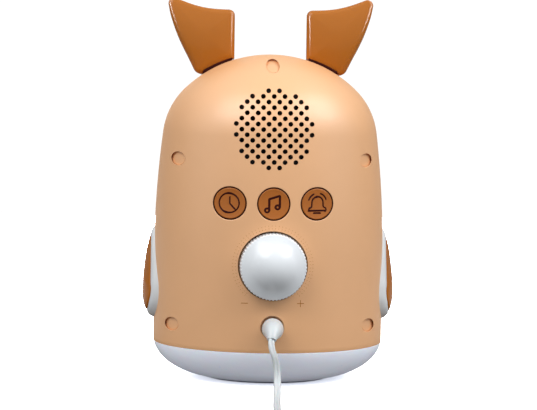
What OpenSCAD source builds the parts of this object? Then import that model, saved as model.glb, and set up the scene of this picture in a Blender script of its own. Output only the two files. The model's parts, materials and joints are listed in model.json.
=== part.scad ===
// Bullet-shaped children's alarm clock with a night-light base, two ears and a cord.
// Millimetres, +Z up. The origin is on the table under the middle of the feet.
// The display faces -Y, the controls face +Y.

/* [Body] */
// Width of the oval body
body_w = 114.4; // [112:0.2:118]
// Depth of the body as a share of its width
depth_ratio = 0.88; // [0.86:0.01:0.9]
// Height of the crown above the table
body_h = 161.2; // [160:0.2:163]
// Radius of the shoulder under the crown
shoulder_r = 36; // [34:0.5:38]
// Thickness of the moulded walls
wall = 2.2; // [2:0.1:2.4]
// Height of the seam between the shells and the night-light base
seam_z = 18.2; // [17.8:0.1:18.6]
// How far behind the ears the shells part, negative towards the front
part_y = -1.5; // [-2:0.1:-1]

/* [Base] */
// Width of the rounded lower edge of the base
bowl_rx = 33; // [32:0.5:34]
// Height of the rounded lower edge of the base
bowl_rz = 19.8; // [19.4:0.2:20.2]
// Gap between the base and the table
foot_gap = 0.4; // [0.3:0.1:0.6]

/* [Controls] */
// Height of the knob's axis
knob_z = 60.6; // [60:0.1:61]
// Radius of the knob
knob_r = 16.2; // [15.8:0.1:16.4]
// How far the knob stands above its recess
knob_h = 15; // [14:0.5:16]
// Height of the three buttons
button_z = 90.6; // [90:0.1:91]
// Distance between two buttons
button_pitch = 21.1; // [21:0.1:21.4]
// Radius of a button cap
button_r = 7.8; // [7.6:0.1:7.9]
// Travel of a button
button_travel = 0.6; // [0.4:0.1:0.6]
// Height of the power socket
jack_z = 30.7; // [30.4:0.1:31]

/* [Speaker] */
// Height of the middle of the grille
grille_z = 126.4; // [126:0.1:127]
// Half the distance between two grille holes in a row
grille_pitch = 2.62; // [2.6:0.01:2.64]
// Radius of a grille hole
grille_hole_r = 1.05; // [1:0.05:1.1]

/* [Ears and paws] */
// Front-to-back thickness of an ear
ear_t = 10; // [9:0.5:10]
// How far a paw stands out from the middle of the clock
paw_reach = 62.8; // [62.4:0.1:63.2]

/* [Cord] */
// Width of the twin lead
cord_w = 3.6; // [3.4:0.1:3.8]
// Thickness of the twin lead
cord_t = 1.8; // [1.7:0.1:1.9]

/* [Hidden] */

gap = 0.1;              // moulding gap between pieces of the same body
glue = 0.03;            // under a piece that is stuck on
far = 90;               // longer than any cut through the body
body_hw = body_w/2;
round_fn = 96;
hole_fn = 32;

// ---- profile of the body: flat foot, bowl, barely leaning side, shoulder, crown
side_r = 500;
side_bend_z = 60;
shoulder_at = 7.2;
side_c = [body_hw - side_r, side_bend_z];
shoulder_c = side_c + (side_r - shoulder_r)*[cos(shoulder_at), sin(shoulder_at)];
crown_drop = shoulder_c[1] - body_h;
crown_r = (shoulder_r^2 - shoulder_c[0]^2 - crown_drop^2)/(2*(crown_drop + shoulder_r));
crown_c = [0, body_h - crown_r];
crown_at = atan2(shoulder_c[1] - crown_c[1], shoulder_c[0]);

function arc(c, r, a0, a1, n) =
  [for (i = [0:n]) c + r*[cos(a0 + (a1 - a0)*i/n), sin(a0 + (a1 - a0)*i/n)]];
function from(list, k) = [for (i = [k:len(list) - 1]) list[i]];

function bowl_at(z, inset) = asin((z - foot_gap - bowl_rz)/(bowl_rz - inset));
function bowl(inset, a0 = -90, a1 = 0) = [for (i = [0:8]) let (a = a0 + (a1 - a0)*i/8)
  [body_hw - bowl_rx + (bowl_rx - inset)*cos(a), foot_gap + bowl_rz + (bowl_rz - inset)*sin(a)]];
function bowl_angle_of(r, inset) = -acos((r - body_hw + bowl_rx)/(bowl_rx - inset));

function dome(inset) = concat(
  arc(side_c, side_r - inset, 0, shoulder_at, 3),
  from(arc(shoulder_c, shoulder_r - inset, shoulder_at, crown_at, 9), 1),
  from(arc(crown_c, crown_r - inset, crown_at, 89.9, 10), 1),
  [[0, body_h - inset]]);
function reverse(list) = [for (i = [len(list) - 1:-1:0]) list[i]];
function body_profile(inset) = concat([[0, foot_gap + inset]], bowl(inset), dome(inset));

// Any revolved shape, squeezed to the body's oval plan
module oval(points) scale([1, depth_ratio, 1]) rotate_extrude($fn = round_fn) polygon(points);

// The same in two halves, each squeezed before they join
module oval_halves(points) for (turn = [0, 180])
  scale([1, depth_ratio, 1]) rotate(turn) rotate_extrude(angle = 180, $fn = round_fn) polygon(points);

// The oval body, smaller all round by inset
module body(inset = 0) oval(body_profile(inset));

// A piece of the body's own skin, between two depths below its surface
module skin(outer, inner) oval(concat(body_profile(outer), reverse(body_profile(inner))));

// Half-space blocks
module behind(y) translate([-far, y, -far]) cube([2*far, far, 4*far]);
module ahead(y) translate([-far, y - far, -far]) cube([2*far, far, 4*far]);
module slab(z0, z1) translate([-far, -far, z0]) cube([2*far, 2*far, z1 - z0]);

// Round bars along the axes
module rod_x(x0, x1, y, z, r) translate([x0, y, z]) rotate([0, 90, 0]) cylinder(r = r, h = x1 - x0);
module rod_y(x, y0, y1, z, r) translate([x, y0, z]) rotate([-90, 0, 0]) cylinder(r = r, h = y1 - y0);
module rod_z(x, y, z0, z1, r) translate([x, y, z0]) cylinder(r = r, h = z1 - z0);

// A block by its lowest corner and its size
module block(corner, size) translate(corner) cube(size);

// A pan-head screw: head at the origin towards +Z, shank towards -Z
module screw(head_r, head_h, shank_r, shank_l) {
  difference() {
    cylinder(r = head_r, h = head_h, $fn = hole_fn);
    for (turn = [0, 90]) rotate(turn)
      translate([-head_r*0.6, -0.35, head_h*0.45]) cube([head_r*1.2, 0.7, head_h]);
  }
  translate([0, 0, -shank_l]) cylinder(r = shank_r, h = shank_l, $fn = hole_fn);
}

function unit(v) = v/norm(v);
function tangent(path, i) = unit(path[min(i + 1, len(path) - 1)] - path[max(i - 1, 0)]);
function alike(route, v) = [for (p = route) v];

// One closed skin along a path, as wide and as thick at each point as the lists say. The way up is
// any direction that the path never takes.
module sweep(path, widths, heights, sides, way_up = [0, 0, 1]) {
  rings = [for (i = [0:len(path) - 1]) let (
      t = tangent(path, i),
      across = unit(cross(t, way_up)),
      up = cross(across, t))
    for (k = [0:sides - 1]) path[i]
      + across*widths[i]/2*cos(360*k/sides) + up*heights[i]/2*sin(360*k/sides)];
  last = len(path) - 1;
  walls = [for (i = [0:last - 1]) for (k = [0:sides - 1])
    [i*sides + k, i*sides + (k + 1) % sides, (i + 1)*sides + (k + 1) % sides, (i + 1)*sides + k]];
  start_cap = [[for (k = [sides - 1:-1:0]) k]];
  end_cap = [[for (k = [0:sides - 1]) last*sides + k]];
  polyhedron(points = rings, faces = concat(walls, start_cap, end_cap), convexity = 4);
}

// Rounded rectangle and egg outlines, drawn with arcs
function rounded_box(w, h, r) = concat(
  arc([w/2 - r, h/2 - r], r, 0, 90, 6), arc([r - w/2, h/2 - r], r, 90, 180, 6),
  arc([r - w/2, r - h/2], r, 180, 270, 6), arc([w/2 - r, r - h/2], r, 270, 360, 6));

function egg(lo, hi, r_lo, r_hi) = let (lean = asin((r_lo - r_hi)/(hi - lo))) concat(
  arc([0, lo], r_lo, -180 - lean, lean, 16), arc([0, hi], r_hi, lean, 180 - lean, 10));

// ---- places
cover_bosses = [[48.3, 29.3], [-48.3, 29.3], [46, 110.7], [-46, 110.7], [0, 156.2]];
boss_r = 3.6;
plug_r = 3.25;
screw_seat_y = 8;
front_boss_y = -13;

recess_y = 47.6;                      // floor of the knob's recess
recess_r = knob_r + 0.6;
disc_t = 2.4;                         // thickness of both recess floors
cup_wall = 1.8;                       // wall round both recesses
jack_floor_y = 46.9;
jack_recess_r = 5.6;
jack_nose_r = 4.1;
jack_back_y = 30;
bushing_r = 3.5;
shaft_r = 3;
pot_face_y = recess_y - disc_t - gap; // the potentiometer sits against the recess floor
pot_l = 9;
pot_back_y = pot_face_y - pot_l;

sleeve_r = button_r + cup_wall;
button_hole_r = button_r + 0.3;
sleeve_end_y = 37.5;
flange_y = [35.6, 37.4];
board_y = 28;                         // back of the button board
board_t = 1.6;
board_post_r = 2.6;
switch_h = 3.7;
switch_floor_y = board_y + board_t + 2.2;
plunger_y = [switch_floor_y + button_travel + 0.5, 35.3];
stem_top_r = 2.2;
button_xs = [-button_pitch, 0, button_pitch];
button_board_holes = [for (x = [-1, 1]*button_pitch/2) for (dz = [-9.1, 9.1]) [x, button_z + dz]];

speaker_y = 26;                       // front face of the loudspeaker
speaker_ring_r = 23;

main_board_y = -33.5;                 // front face of the main board
main_board_z = 70;
main_board_size = [68, 56];
main_board_holes = [for (x = [-31, 31]) for (z = [45, 92]) [x, z]];
main_post_r = 2.8;
window_z = 62;
window_w = 58;
window_h = 28;
digits_y = -40;

ear_x = 29;                           // axis of the ear's stem
ear_y = -7.5;
ear_peg_x = 22.5;
stem_r = 3;
stem_seat_z = 146;

paw_pegs = [40, 61];
paw_peg_r = 2.5;
paw_collar_r = 3.9;

eye_x = 17;
eye_z = 113;
muzzle_z = 92;

plate_r = 30;                         // radius of the base plate
base_screw_at = [[23, 0], [-23, 0], [0, 20], [0, -20]];
feet_at = [for (x = [-16, 16]) for (y = [-12, 12]) [x, y]];
foot_r = 4.5;
foot_h = 1.4;
chassis_t = 2;
rib_z = seam_z + 4.3;                 // underside of the rib over the light chassis
chassis_z = rib_z - gap - chassis_t;
door_r = 12.2;
lobe_r = 3.5;
lobe_x = 14;
door_t = 1.15;
cell_r = 10;
cell_t = 3.2;
cell_z = foot_gap + door_t + 0.15;
spring_z = cell_z + cell_t + 0.9;
led_board_z = 12;
led_board_t = 1.2;
led_r = 30;                           // circle that the lamps stand on
post_at = [for (a = [45:90:315]) 15*[cos(a), sin(a)]];

// ---- shells

module speaker_grille()
  for (row = [-7:7]) for (col = [-7:7])
    if ((row + col) % 2 == 0 && row^2 + col^2 <= 55)
      rod_y(col*grille_pitch, 20, far, grille_z + row*grille_pitch, grille_hole_r, $fn = 16);

module paw_peg_holes() for (z = paw_pegs) rod_x(-60, 60, part_y, z, paw_peg_r + gap, $fn = hole_fn);

// Section of both shells, from the seam to the crown, with the rib over the light chassis
function shell_section() = concat(
  bowl(0, bowl_at(seam_z, 0), 0), dome(0), reverse(dome(wall)),
  [for (p = [[0, 1.5], [1.6, 1.5], [1.6, 0], [0, 0]]) [body_hw - wall - p[0], rib_z + p[1]]],
  bowl(wall, 0, bowl_at(seam_z, wall)));

module rear_cover() color("#DDB18B") difference() {
  union() {
    intersection() {
      oval(shell_section());
      behind(part_y);
    }
    intersection() {
      body(0.6);
      union() {
        for (p = cover_bosses) rod_y(p[0], part_y, far, p[1], boss_r, $fn = hole_fn);
        for (x = button_xs) rod_y(x, sleeve_end_y, far, button_z, sleeve_r, $fn = 48);
        for (p = button_board_holes) rod_y(p[0], board_y + board_t, far, p[1], board_post_r, $fn = hole_fn);
        rod_y(0, recess_y - disc_t, far, knob_z, recess_r + cup_wall, $fn = 64);
        rod_y(0, jack_floor_y - disc_t, far, jack_z, jack_recess_r + cup_wall, $fn = 48);
        difference() {
          rod_y(0, speaker_y, far, grille_z, speaker_ring_r, $fn = 64);
          rod_y(0, speaker_y - 1, far, grille_z, speaker_ring_r - 1.6, $fn = 64);
        }
      }
    }
  }
  // screw holes, each with a wider pocket for its plug
  for (p = cover_bosses) {
    rod_y(p[0], part_y - 1, far, p[1], 1.7, $fn = hole_fn);
    rod_y(p[0], screw_seat_y, far, p[1], plug_r + 0.05, $fn = hole_fn);
  }
  speaker_grille();
  for (x = button_xs) rod_y(x, sleeve_end_y - 1, far, button_z, button_hole_r, $fn = 48);
  for (p = button_board_holes) rod_y(p[0], board_y, board_y + board_t + 7, p[1], 1, $fn = 24);
  rod_y(0, recess_y, far, knob_z, recess_r, $fn = 64);
  rod_y(0, pot_back_y, far, knob_z, bushing_r + gap, $fn = hole_fn);
  rod_y(0, jack_floor_y, far, jack_z, jack_recess_r, $fn = 48);
  rod_y(0, jack_back_y, far, jack_z, jack_nose_r + gap, $fn = hole_fn);
  paw_peg_holes();
}

module window_prism(w, h, r) translate([0, 0, window_z]) rotate([90, 0, 0])
  linear_extrude(height = far) polygon(rounded_box(w, h, r));

// A web from a boss out to the wall beside it
module boss_rib(p) if (p[0] != 0) translate([p[0], 0, p[1]]) mirror([p[0] < 0 ? 1 : 0, 0, 0])
  block([boss_r - 1, front_boss_y, -1], [8, part_y - front_boss_y, 2]);

module front_shell() color("#DDB18B") difference() {
  union() {
    intersection() {
      oval(shell_section());
      ahead(part_y);
    }
    intersection() {
      body(0.6);
      union() {
        for (p = cover_bosses) {
          rod_y(p[0], front_boss_y, part_y, p[1], boss_r, $fn = hole_fn);
          boss_rib(p);
        }
        for (p = main_board_holes) rod_y(p[0], -far, main_board_y, p[1], main_post_r, $fn = hole_fn);
        for (s = [-1, 1]) rod_z(s*ear_x, ear_y, stem_seat_z, far*2, 5.5, $fn = hole_fn);
      }
    }
  }
  for (p = cover_bosses) rod_y(p[0], front_boss_y + 1.5, part_y + 1, p[1], 1.25, $fn = 24);
  for (p = main_board_holes) rod_y(p[0], main_board_y - 3.5, main_board_y + 1, p[1], 1, $fn = 24);
  for (s = [-1, 1]) {
    rod_z(s*ear_x, ear_y, stem_seat_z - 1, far*2, stem_r + gap/2, $fn = hole_fn);
    rod_z(s*ear_peg_x, ear_y, stem_seat_z + 4, far*2, 1.55, $fn = 24);
    rod_y(s*eye_x, -far, -40, eye_z, 2.05, $fn = 24);
    rod_y(s*9, -far, -40, muzzle_z, 1.85, $fn = 24);
  }
  window_prism(window_w, window_h, 7);
  paw_peg_holes();
}

module cover_screws() color("silver") for (p = cover_bosses)
  translate([p[0], screw_seat_y, p[1]]) rotate([-90, 0, 0]) screw(2.7, 1.8, 1.22, 18);

// Each plug follows the body a little below its surface
module screw_plugs() color("#DDB18B") intersection() {
  body(0.7);
  for (p = cover_bosses) rod_y(p[0], screw_seat_y + 3, far, p[1], plug_r, $fn = hole_fn);
}

// ---- night-light base

module door_outline(extra) {
  circle(r = door_r + extra, $fn = 64);
  translate([lobe_x, 0]) circle(r = lobe_r + extra, $fn = hole_fn);
}

lip_in = wall + gap;
ledge_t = 1.6;

// Bowl with a lip inside the shells and a ledge over the rim of the base plate
function diffuser_section() = let (
    seam_r = bowl(0, 0, bowl_at(seam_z, 0))[8][0],
    hole_r = plate_r + gap, ledge_in = wall + ledge_t) concat(
  bowl(0, bowl_angle_of(hole_r, 0), bowl_at(seam_z, 0)),
  [[seam_r - lip_in, seam_z], [seam_r - lip_in, chassis_z], [seam_r - lip_in - 1.6, chassis_z]],
  bowl(wall, bowl_at(seam_z - 3, wall), bowl_angle_of(plate_r + 4, wall)),
  bowl(ledge_in, bowl_angle_of(plate_r + 3.6, ledge_in), bowl_angle_of(plate_r - 3, ledge_in)),
  bowl(wall, bowl_angle_of(plate_r - 3, wall), bowl_angle_of(hole_r, wall)));

module base_diffuser() color("#B9BDCC") oval_halves(diffuser_section());

// A flat oval plate, whose rim stands a little proud of the bowl around it
plate_t = wall - gap;
function plate_outline() = [for (a = [0:5:355]) plate_r*[cos(a), depth_ratio*sin(a)]];

module base_plate() color("#B9BDCC") difference() {
  union() {
    translate([0, 0, foot_gap]) linear_extrude(height = plate_t) polygon(plate_outline());
    // cup round the coin cell and the post for the door's screw
    rod_z(0, 0, foot_gap + 1.6, spring_z, cell_r + 1.8, $fn = 64);
    rod_z(lobe_x, 0, foot_gap + 1.6, foot_gap + 5.2, 2.7, $fn = hole_fn);
  }
  translate([0, 0, -1]) linear_extrude(height = 1 + foot_gap + door_t + 0.05) door_outline(gap);
  rod_z(0, 0, -1, 9, cell_r + 0.2, $fn = 64);
  rod_z(lobe_x, 0, 1, foot_gap + 4.6, 0.8, $fn = 24);
  for (p = base_screw_at) {
    rod_z(p[0], p[1], -1, 9, 1.5, $fn = 24);
    rod_z(p[0], p[1], -1, foot_gap + 1, 2.6, $fn = hole_fn);
  }
  for (p = feet_at) rod_z(p[0], p[1], -1, foot_h, foot_r + 0.05, $fn = hole_fn);
}

module rubber_feet() color("#5A5A60") for (p = feet_at)
  rod_z(p[0], p[1], 0, foot_h, foot_r, $fn = hole_fn);

module base_screws() color("silver") for (p = base_screw_at)
  translate([p[0], p[1], foot_gap + 1]) mirror([0, 0, 1]) screw(2.4, 0.9, 1.22, 12);

module battery_door() color("#B9BDCC") difference() {
  translate([0, 0, foot_gap]) linear_extrude(height = door_t) door_outline(0);
  rod_z(lobe_x, 0, 0, 3, 0.95, $fn = 24);
  rod_z(lobe_x, 0, 0, foot_gap + 0.6, 1.7, $fn = 24);
  block([-5, -0.8, 0], [10, 1.6, foot_gap + 0.4]);
}

module battery_door_screw() color("silver")
  translate([lobe_x, 0, foot_gap + 0.6]) mirror([0, 0, 1]) screw(1.6, 0.5, 0.78, 3.2);

module coin_cell() color("#C8C8CC") difference() {
  rod_z(0, 0, cell_z, cell_z + cell_t, cell_r, $fn = 64);
  difference() {
    rod_z(0, 0, cell_z + cell_t - 0.3, cell_z + cell_t + 1, cell_r + 1, $fn = 64);
    rod_z(0, 0, cell_z, cell_z + cell_t + 2, cell_r - 1.4, $fn = 64);
  }
}

module coin_cell_spring() color("gold") {
  rod_z(0, 0, spring_z, spring_z + 0.4, cell_r + 1.6, $fn = 48);
  rod_z(0, 0, cell_z + cell_t, spring_z, 2.5, $fn = 24);
}

module light_chassis() color("white") difference() {
  union() {
    intersection() {
      body(wall + 0.15);
      slab(chassis_z, chassis_z + chassis_t);
    }
    for (p = base_screw_at) rod_z(p[0], p[1], foot_gap + wall + 0.05, chassis_z + 1, 3, $fn = hole_fn);
    // posts of the lamp board: shoulder above it, pin through it, melted head under it
    for (p = post_at) {
      rod_z(p[0], p[1], led_board_z + led_board_t + gap, chassis_z + 1, 2.4, $fn = 24);
      rod_z(p[0], p[1], led_board_z - 0.5, led_board_z + led_board_t + 0.5, 1, $fn = 24);
      rod_z(p[0], p[1], led_board_z - 1.1, led_board_z - gap/2, 1.8, $fn = 24);
    }
  }
  rod_z(0, 0, 10, chassis_z + 5, 6, $fn = hole_fn);
  for (p = base_screw_at) rod_z(p[0], p[1], 2, 15, 1.25, $fn = 24);
}

module led_board() color("#F2F2EE") difference() {
  rod_z(0, 0, led_board_z, led_board_z + led_board_t, led_r + 4, $fn = round_fn);
  rod_z(0, 0, 10, 15, 2.5, $fn = hole_fn);
  for (p = base_screw_at) rod_z(p[0], p[1], 10, 15, 3.2, $fn = hole_fn);
  for (p = post_at) rod_z(p[0], p[1], 10, 15, 1 + gap, $fn = 24);
}

module night_light_leds() color("#FFF3C8") for (i = [0:9]) rotate(36*i + 18)
  translate([led_r, 0, led_board_z - 1.4])
  difference() {
    block([-1.75, -1.75, 0], [3.5, 3.5, 1.4]);
    rod_z(0, 0, -1, 0.3, 1.3, $fn = 24);
  }

// ---- ears

// Outline seen from behind, as (x, z): tip, hollow upper edge, rounded corners and full outer edge
ear_tip = [48.3, 185.9];
ear_tip_r = 2.9;
ear_top = [21, 180.2];  // middle of the rounded inner corner
ear_top_r = 3;
ear_low = [34.2, 155.4];
ear_low_r = 4.6;
function ear_points() = concat(
  arc(ear_tip, ear_tip_r, -20, 100, 6),
  [for (i = [1:7]) let (t = i/8) [47.8 - 26.8*t, 188.75 - 5.55*t - 1.6*sin(180*t)]],
  arc(ear_top, ear_top_r, 90, 180, 5),
  [[ear_top[0] - ear_top_r, 150], [30, 144]],
  arc(ear_low, ear_low_r, -75, -20, 4),
  [[41.4, 159.6], [43.9, 164.4], [46.4, 169.8], [48.6, 175.6], [50.2, 180.8]]);

// The fold that hangs down in front of the ear
fold_z = 184;
flap_lean = 17;
flap_t = 5;
function flap_points() = concat(
  arc([48.1, 183.6], 2.4, -15, 95, 6),
  arc([21.4, 178.2], 2.4, 90, 200, 6),
  arc([38, 158], 3.4, 215, 350, 8));

module ear() difference() {
  union() {
    difference() {
      union() {
        translate([0, ear_y + ear_t/2, 0]) rotate([90, 0, 0])
          linear_extrude(height = ear_t) polygon(ear_points());
        translate([0, ear_y - ear_t/2 + 1.5, fold_z]) rotate([-flap_lean, 0, 0]) translate([0, 0, -fold_z])
          rotate([90, 0, 0]) linear_extrude(height = flap_t) polygon(flap_points());
      }
      body(-0.25);
    }
    rod_z(ear_x, ear_y, stem_seat_z + 0.6, 166, stem_r, $fn = hole_fn);
    rod_z(ear_peg_x, ear_y, 151, 166, 1.5, $fn = 24);
  }
  rod_z(ear_x, ear_y, 140, 158, 1, $fn = 24);
}

module left_ear() color("#B5702B") ear();
module right_ear() color("#B5702B") mirror([1, 0, 0]) ear();

module ear_screws() color("silver") for (s = [-1, 1]) {
  translate([s*ear_x, ear_y, stem_seat_z - 0.8]) mirror([0, 0, 1]) screw(2.4, 1.6, 0.97, 10);
  difference() {
    rod_z(s*ear_x, ear_y, stem_seat_z - 0.8, stem_seat_z, 4.6, $fn = hole_fn);
    rod_z(s*ear_x, ear_y, stem_seat_z - 2, stem_seat_z + 1, 1, $fn = 24);
  }
}

// ---- paws

paw_lo = 44.2;
paw_hi = 71.2;
paw_r_lo = 15.4;
paw_r_hi = 5.3;
paw_rim_w = 4.2;
paw_floor_t = 1.2;      // web of the rim under the pad
paw_bulge_z = 41.6;     // height where a paw stands out most
paw_bulge_x = 19.5;
paw_bulge_y = 19;

module paw_prism(inset) translate([45, 0, 0]) rotate([90, 0, 90])
  linear_extrude(height = 40) polygon(egg(paw_lo, paw_hi, paw_r_lo - inset, paw_r_hi - inset));

// The bulging outside of the paw: half an egg that is long above its widest height and short below
module paw_bulge() {
  paw_half_bulge(50, paw_bulge_z, far*2);
  paw_half_bulge(20, 0, paw_bulge_z);
}

module paw_half_bulge(height, z0, z1) intersection() {
  translate([paw_reach - paw_bulge_x, 0, paw_bulge_z]) scale([paw_bulge_x, paw_bulge_y, height])
    sphere(r = 1, $fn = 96);
  slab(z0, z1);
}

module paw_rim() {
  difference() {
    intersection() {
      paw_prism(0);
      paw_bulge();
    }
    body(-glue);
    difference() {
      paw_prism(paw_rim_w);
      body(-paw_floor_t);
    }
  }
  for (z = paw_pegs) {
    rod_x(53, 57.6, part_y, z, paw_peg_r, $fn = hole_fn);
    rod_x(53, 54.4, part_y, z, paw_collar_r, $fn = hole_fn);
  }
}

module paw_pad() difference() {
  intersection() {
    paw_prism(paw_rim_w + gap);
    paw_bulge();
  }
  body(-paw_floor_t - glue);
}

module left_paw_rim() color("#DDE6EA") paw_rim();
module left_paw_pad() color("#B5702B") paw_pad();
module right_paw_rim() color("#DDE6EA") mirror([1, 0, 0]) paw_rim();
module right_paw_pad() color("#B5702B") mirror([1, 0, 0]) paw_pad();

// ---- knob and its potentiometer

knob_y = recess_y + 0.5;
knob_dome_r = 15.5;      // radius of the dome, seen from the side
knob_dome_edge = 42;     // angle at which the dome meets the brim
brim_slope = 24;
brim_edge_r = 1;         // rounding of the brim's edge
knob_fillet_r = 4;       // between the dome and the brim
flutes = 30;
flute_r = 0.7;

// Half outline of the knob: skirt, rounded edge, sloping brim and dome
function knob_profile() = let (
    dome_c = [0, knob_h - knob_dome_r],
    dome_foot = dome_c + knob_dome_r*[sin(knob_dome_edge), cos(knob_dome_edge)],
    fillet_c = dome_foot + knob_fillet_r*[sin(knob_dome_edge), cos(knob_dome_edge)],
    fillet_foot = fillet_c - knob_fillet_r*[sin(brim_slope), cos(brim_slope)],
    edge_c_r = knob_r - brim_edge_r,
    run = edge_c_r + brim_edge_r*sin(brim_slope) - fillet_foot[0],
    edge_c = [edge_c_r, fillet_foot[1] - run*tan(brim_slope) - brim_edge_r*cos(brim_slope)]) concat(
  [[0, 0], [knob_r - 0.4, 0], [knob_r, 0.4]],
  arc(edge_c, brim_edge_r, 0, 90 - brim_slope, 5),
  arc(fillet_c, knob_fillet_r, 270 - brim_slope, 270 - knob_dome_edge, 5),
  from(arc(dome_c, knob_dome_r, 90 - knob_dome_edge, 90, 12), 1));

module knob() color("#F1F4F8") difference() {
  translate([0, knob_y, knob_z]) rotate([-90, 0, 0]) rotate_extrude($fn = round_fn)
    polygon(knob_profile());
  // shallow grip flutes round the edge
  for (i = [1:flutes]) rotate_knob(i*360/flutes)
    rod_y(knob_r + flute_r - 0.2, knob_y - 1, knob_y + 9, 0, flute_r, $fn = 16);
  // room for the nut, and a ring-shaped hollow round the hub
  rod_y(0, knob_y - 1, 52.6, knob_z, 12.4, $fn = 64);
  difference() {
    rod_y(0, knob_y - 1, 56, knob_z, 12.4, $fn = 64);
    rod_y(0, knob_y - 2, 57, knob_z, 5.5, $fn = 48);
  }
  rod_y(0, knob_y - 1, 58.4, knob_z, shaft_r + shaft_fit, $fn = hole_fn);
}

shaft_fit = 0.02;

module rotate_knob(angle) translate([0, 0, knob_z]) rotate([0, angle, 0]) children();

module volume_pot() color("#4A5A48") difference() {
  union() {
    rod_y(0, pot_back_y, pot_face_y, knob_z, 8, $fn = 64);
    rod_y(0, pot_face_y - 1, 51.4, knob_z, bushing_r, $fn = hole_fn);
    block([-7, pot_back_y, knob_z - 14], [14, 1.4, 10]);
  }
  rod_y(0, pot_back_y + 2.7, 60, knob_z, shaft_r + gap/2, $fn = hole_fn);
}

module volume_pot_shaft() color("silver")
  rod_y(0, pot_back_y + 3, 58.2, knob_z, shaft_r, $fn = hole_fn);

module volume_pot_nut() color("silver") difference() {
  translate([0, recess_y, knob_z]) rotate([-90, 0, 0]) cylinder(r = 5.77, h = 2, $fn = 6);
  rod_y(0, recess_y - 1, recess_y + 3, knob_z, bushing_r + 0.02, $fn = hole_fn);
}

// ---- buttons

module button_cap(x) difference() {
  union() {
    intersection() {
      body(0.25);
      rod_y(x, flange_y[0], far, button_z, button_r, $fn = 48);
    }
    rod_y(x, flange_y[0], flange_y[1], button_z, button_r + 1.4, $fn = 48);
    rod_y(x, plunger_y[1], flange_y[0] + 0.5, button_z, stem_top_r, $fn = 24);
  }
  // hollow underside round the stem
  difference() {
    rod_y(x, flange_y[0] - 1, flange_y[1] + 2.2, button_z, button_r - 1.6, $fn = 48);
    rod_y(x, flange_y[0] - 2, flange_y[1] + 3, button_z, stem_top_r, $fn = 24);
  }
}

module time_button() color("#B5702B") button_cap(button_pitch);
module melody_button() color("#B5702B") button_cap(0);
module alarm_button() color("#B5702B") button_cap(-button_pitch);

module plunger(x) rod_y(x, plunger_y[0], plunger_y[1], button_z, 1.7, $fn = 24);
module time_plunger() color("black") plunger(button_pitch);
module melody_plunger() color("black") plunger(0);
module alarm_plunger() color("black") plunger(-button_pitch);

module button_board() color("#2F6B3C") difference() {
  block([-33, board_y, button_z - 12], [66, board_t, 24]);
  for (p = button_board_holes) rod_y(p[0], board_y - 1, board_y + 4, p[1], 1.2, $fn = 24);
}

module button_switches() color("#3A3A3E") for (x = button_xs) difference() {
  block([x - 3, board_y + board_t, button_z - 3], [6, switch_h, 6]);
  rod_y(x, switch_floor_y, 40, button_z, 1.8, $fn = 24);
}

module button_board_screws() color("silver") for (p = button_board_holes)
  translate([p[0], board_y, p[1]]) rotate([90, 0, 0]) screw(1.9, 1.3, 0.97, 7);

// ---- loudspeaker

speaker_screw_r = 20.6;  // circle of its screws
basket_r = 18.4;
basket_in_r = 17;
cone_r = 16.7;

module speaker_frame() color("#55585C") difference() {
  union() {
    rod_y(0, speaker_y - 1.4, speaker_y, grille_z, speaker_ring_r - 0.2, $fn = 96);
    translate([0, speaker_y - 13, grille_z]) rotate([-90, 0, 0])
      cylinder(r1 = 12.4, r2 = basket_r, h = 11.7, $fn = 64);
    block([-5, speaker_y - 13, grille_z - 17], [10, 1, 7]);
  }
  translate([0, speaker_y - 11.6, grille_z]) rotate([-90, 0, 0])
    cylinder(r1 = 10.6, r2 = basket_in_r, h = 10.3, $fn = 64);
  rod_y(0, speaker_y - 2, speaker_y + 1, grille_z, basket_in_r, $fn = 64);
  rod_y(0, speaker_y - 14, speaker_y, grille_z, 7, $fn = 48);
}

module speaker_cone() color("#2B2B2E") difference() {
  translate([0, speaker_y - 9, grille_z]) rotate([-90, 0, 0]) union() {
    cylinder(r1 = 7.6, r2 = cone_r, h = 8.4, $fn = 64);
    translate([0, 0, -3]) cylinder(r = 6.6, h = 4, $fn = 48);
  }
  difference() {
    translate([0, speaker_y - 8.4, grille_z]) rotate([-90, 0, 0])
      cylinder(r1 = 7.4, r2 = cone_r + 0.5, h = 8.8, $fn = 64);
    translate([0, speaker_y - 12, grille_z]) sphere(r = 8, $fn = 64);
  }
}

module speaker_magnet() color("#8A8D92") union() {
  rod_y(0, speaker_y - 22, speaker_y - 13, grille_z, 12, $fn = 64);
  rod_y(0, speaker_y - 23, speaker_y - 22, grille_z, 11, $fn = 64);
}

// Three clips of screw and washer hold the speaker to its ring
module speaker_screws() color("silver") for (a = [90, 210, 330])
  translate([speaker_screw_r*cos(a), speaker_y - 1.4, grille_z + speaker_screw_r*sin(a)])
    rotate([90, 0, 0]) cylinder(r = 2, h = 1.4, $fn = 24);

// ---- electronics

module main_board() color("#2F6B3C") difference() {
  translate([0, main_board_y, main_board_z]) rotate([-90, 0, 0]) linear_extrude(height = board_t)
    polygon(rounded_box(main_board_size[0], main_board_size[1], 3));
  for (p = main_board_holes) rod_y(p[0], main_board_y - 1, main_board_y + 4, p[1], 1.2, $fn = 24);
}

module main_board_parts() color("#2A2A2E") translate([0, main_board_y + board_t, 0]) {
  block([-6, 0, 66], [12, 1.6, 12]);
  block([16, 0, 76], [6, 1.5, 5]);
  block([-26, 0, 58], [4, 1.2, 10]);
  for (x = [14, 23]) rod_y(x, 0, 9, 66, 3.9, $fn = hole_fn);
  rod_y(-20, 0, 7, 84, 3.1, $fn = hole_fn);
  for (p = connectors) block([p[0] - 4, 0, p[1] - 2.5], [8, 5, 5]);
}

// Wire connectors on the main board: speaker, buttons, volume, light, socket
connectors = [[6, 90], [-10, 90], [-18, 72], [-8, 48], [12, 50]];
plug_in_y = main_board_y + board_t + 5;

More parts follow.
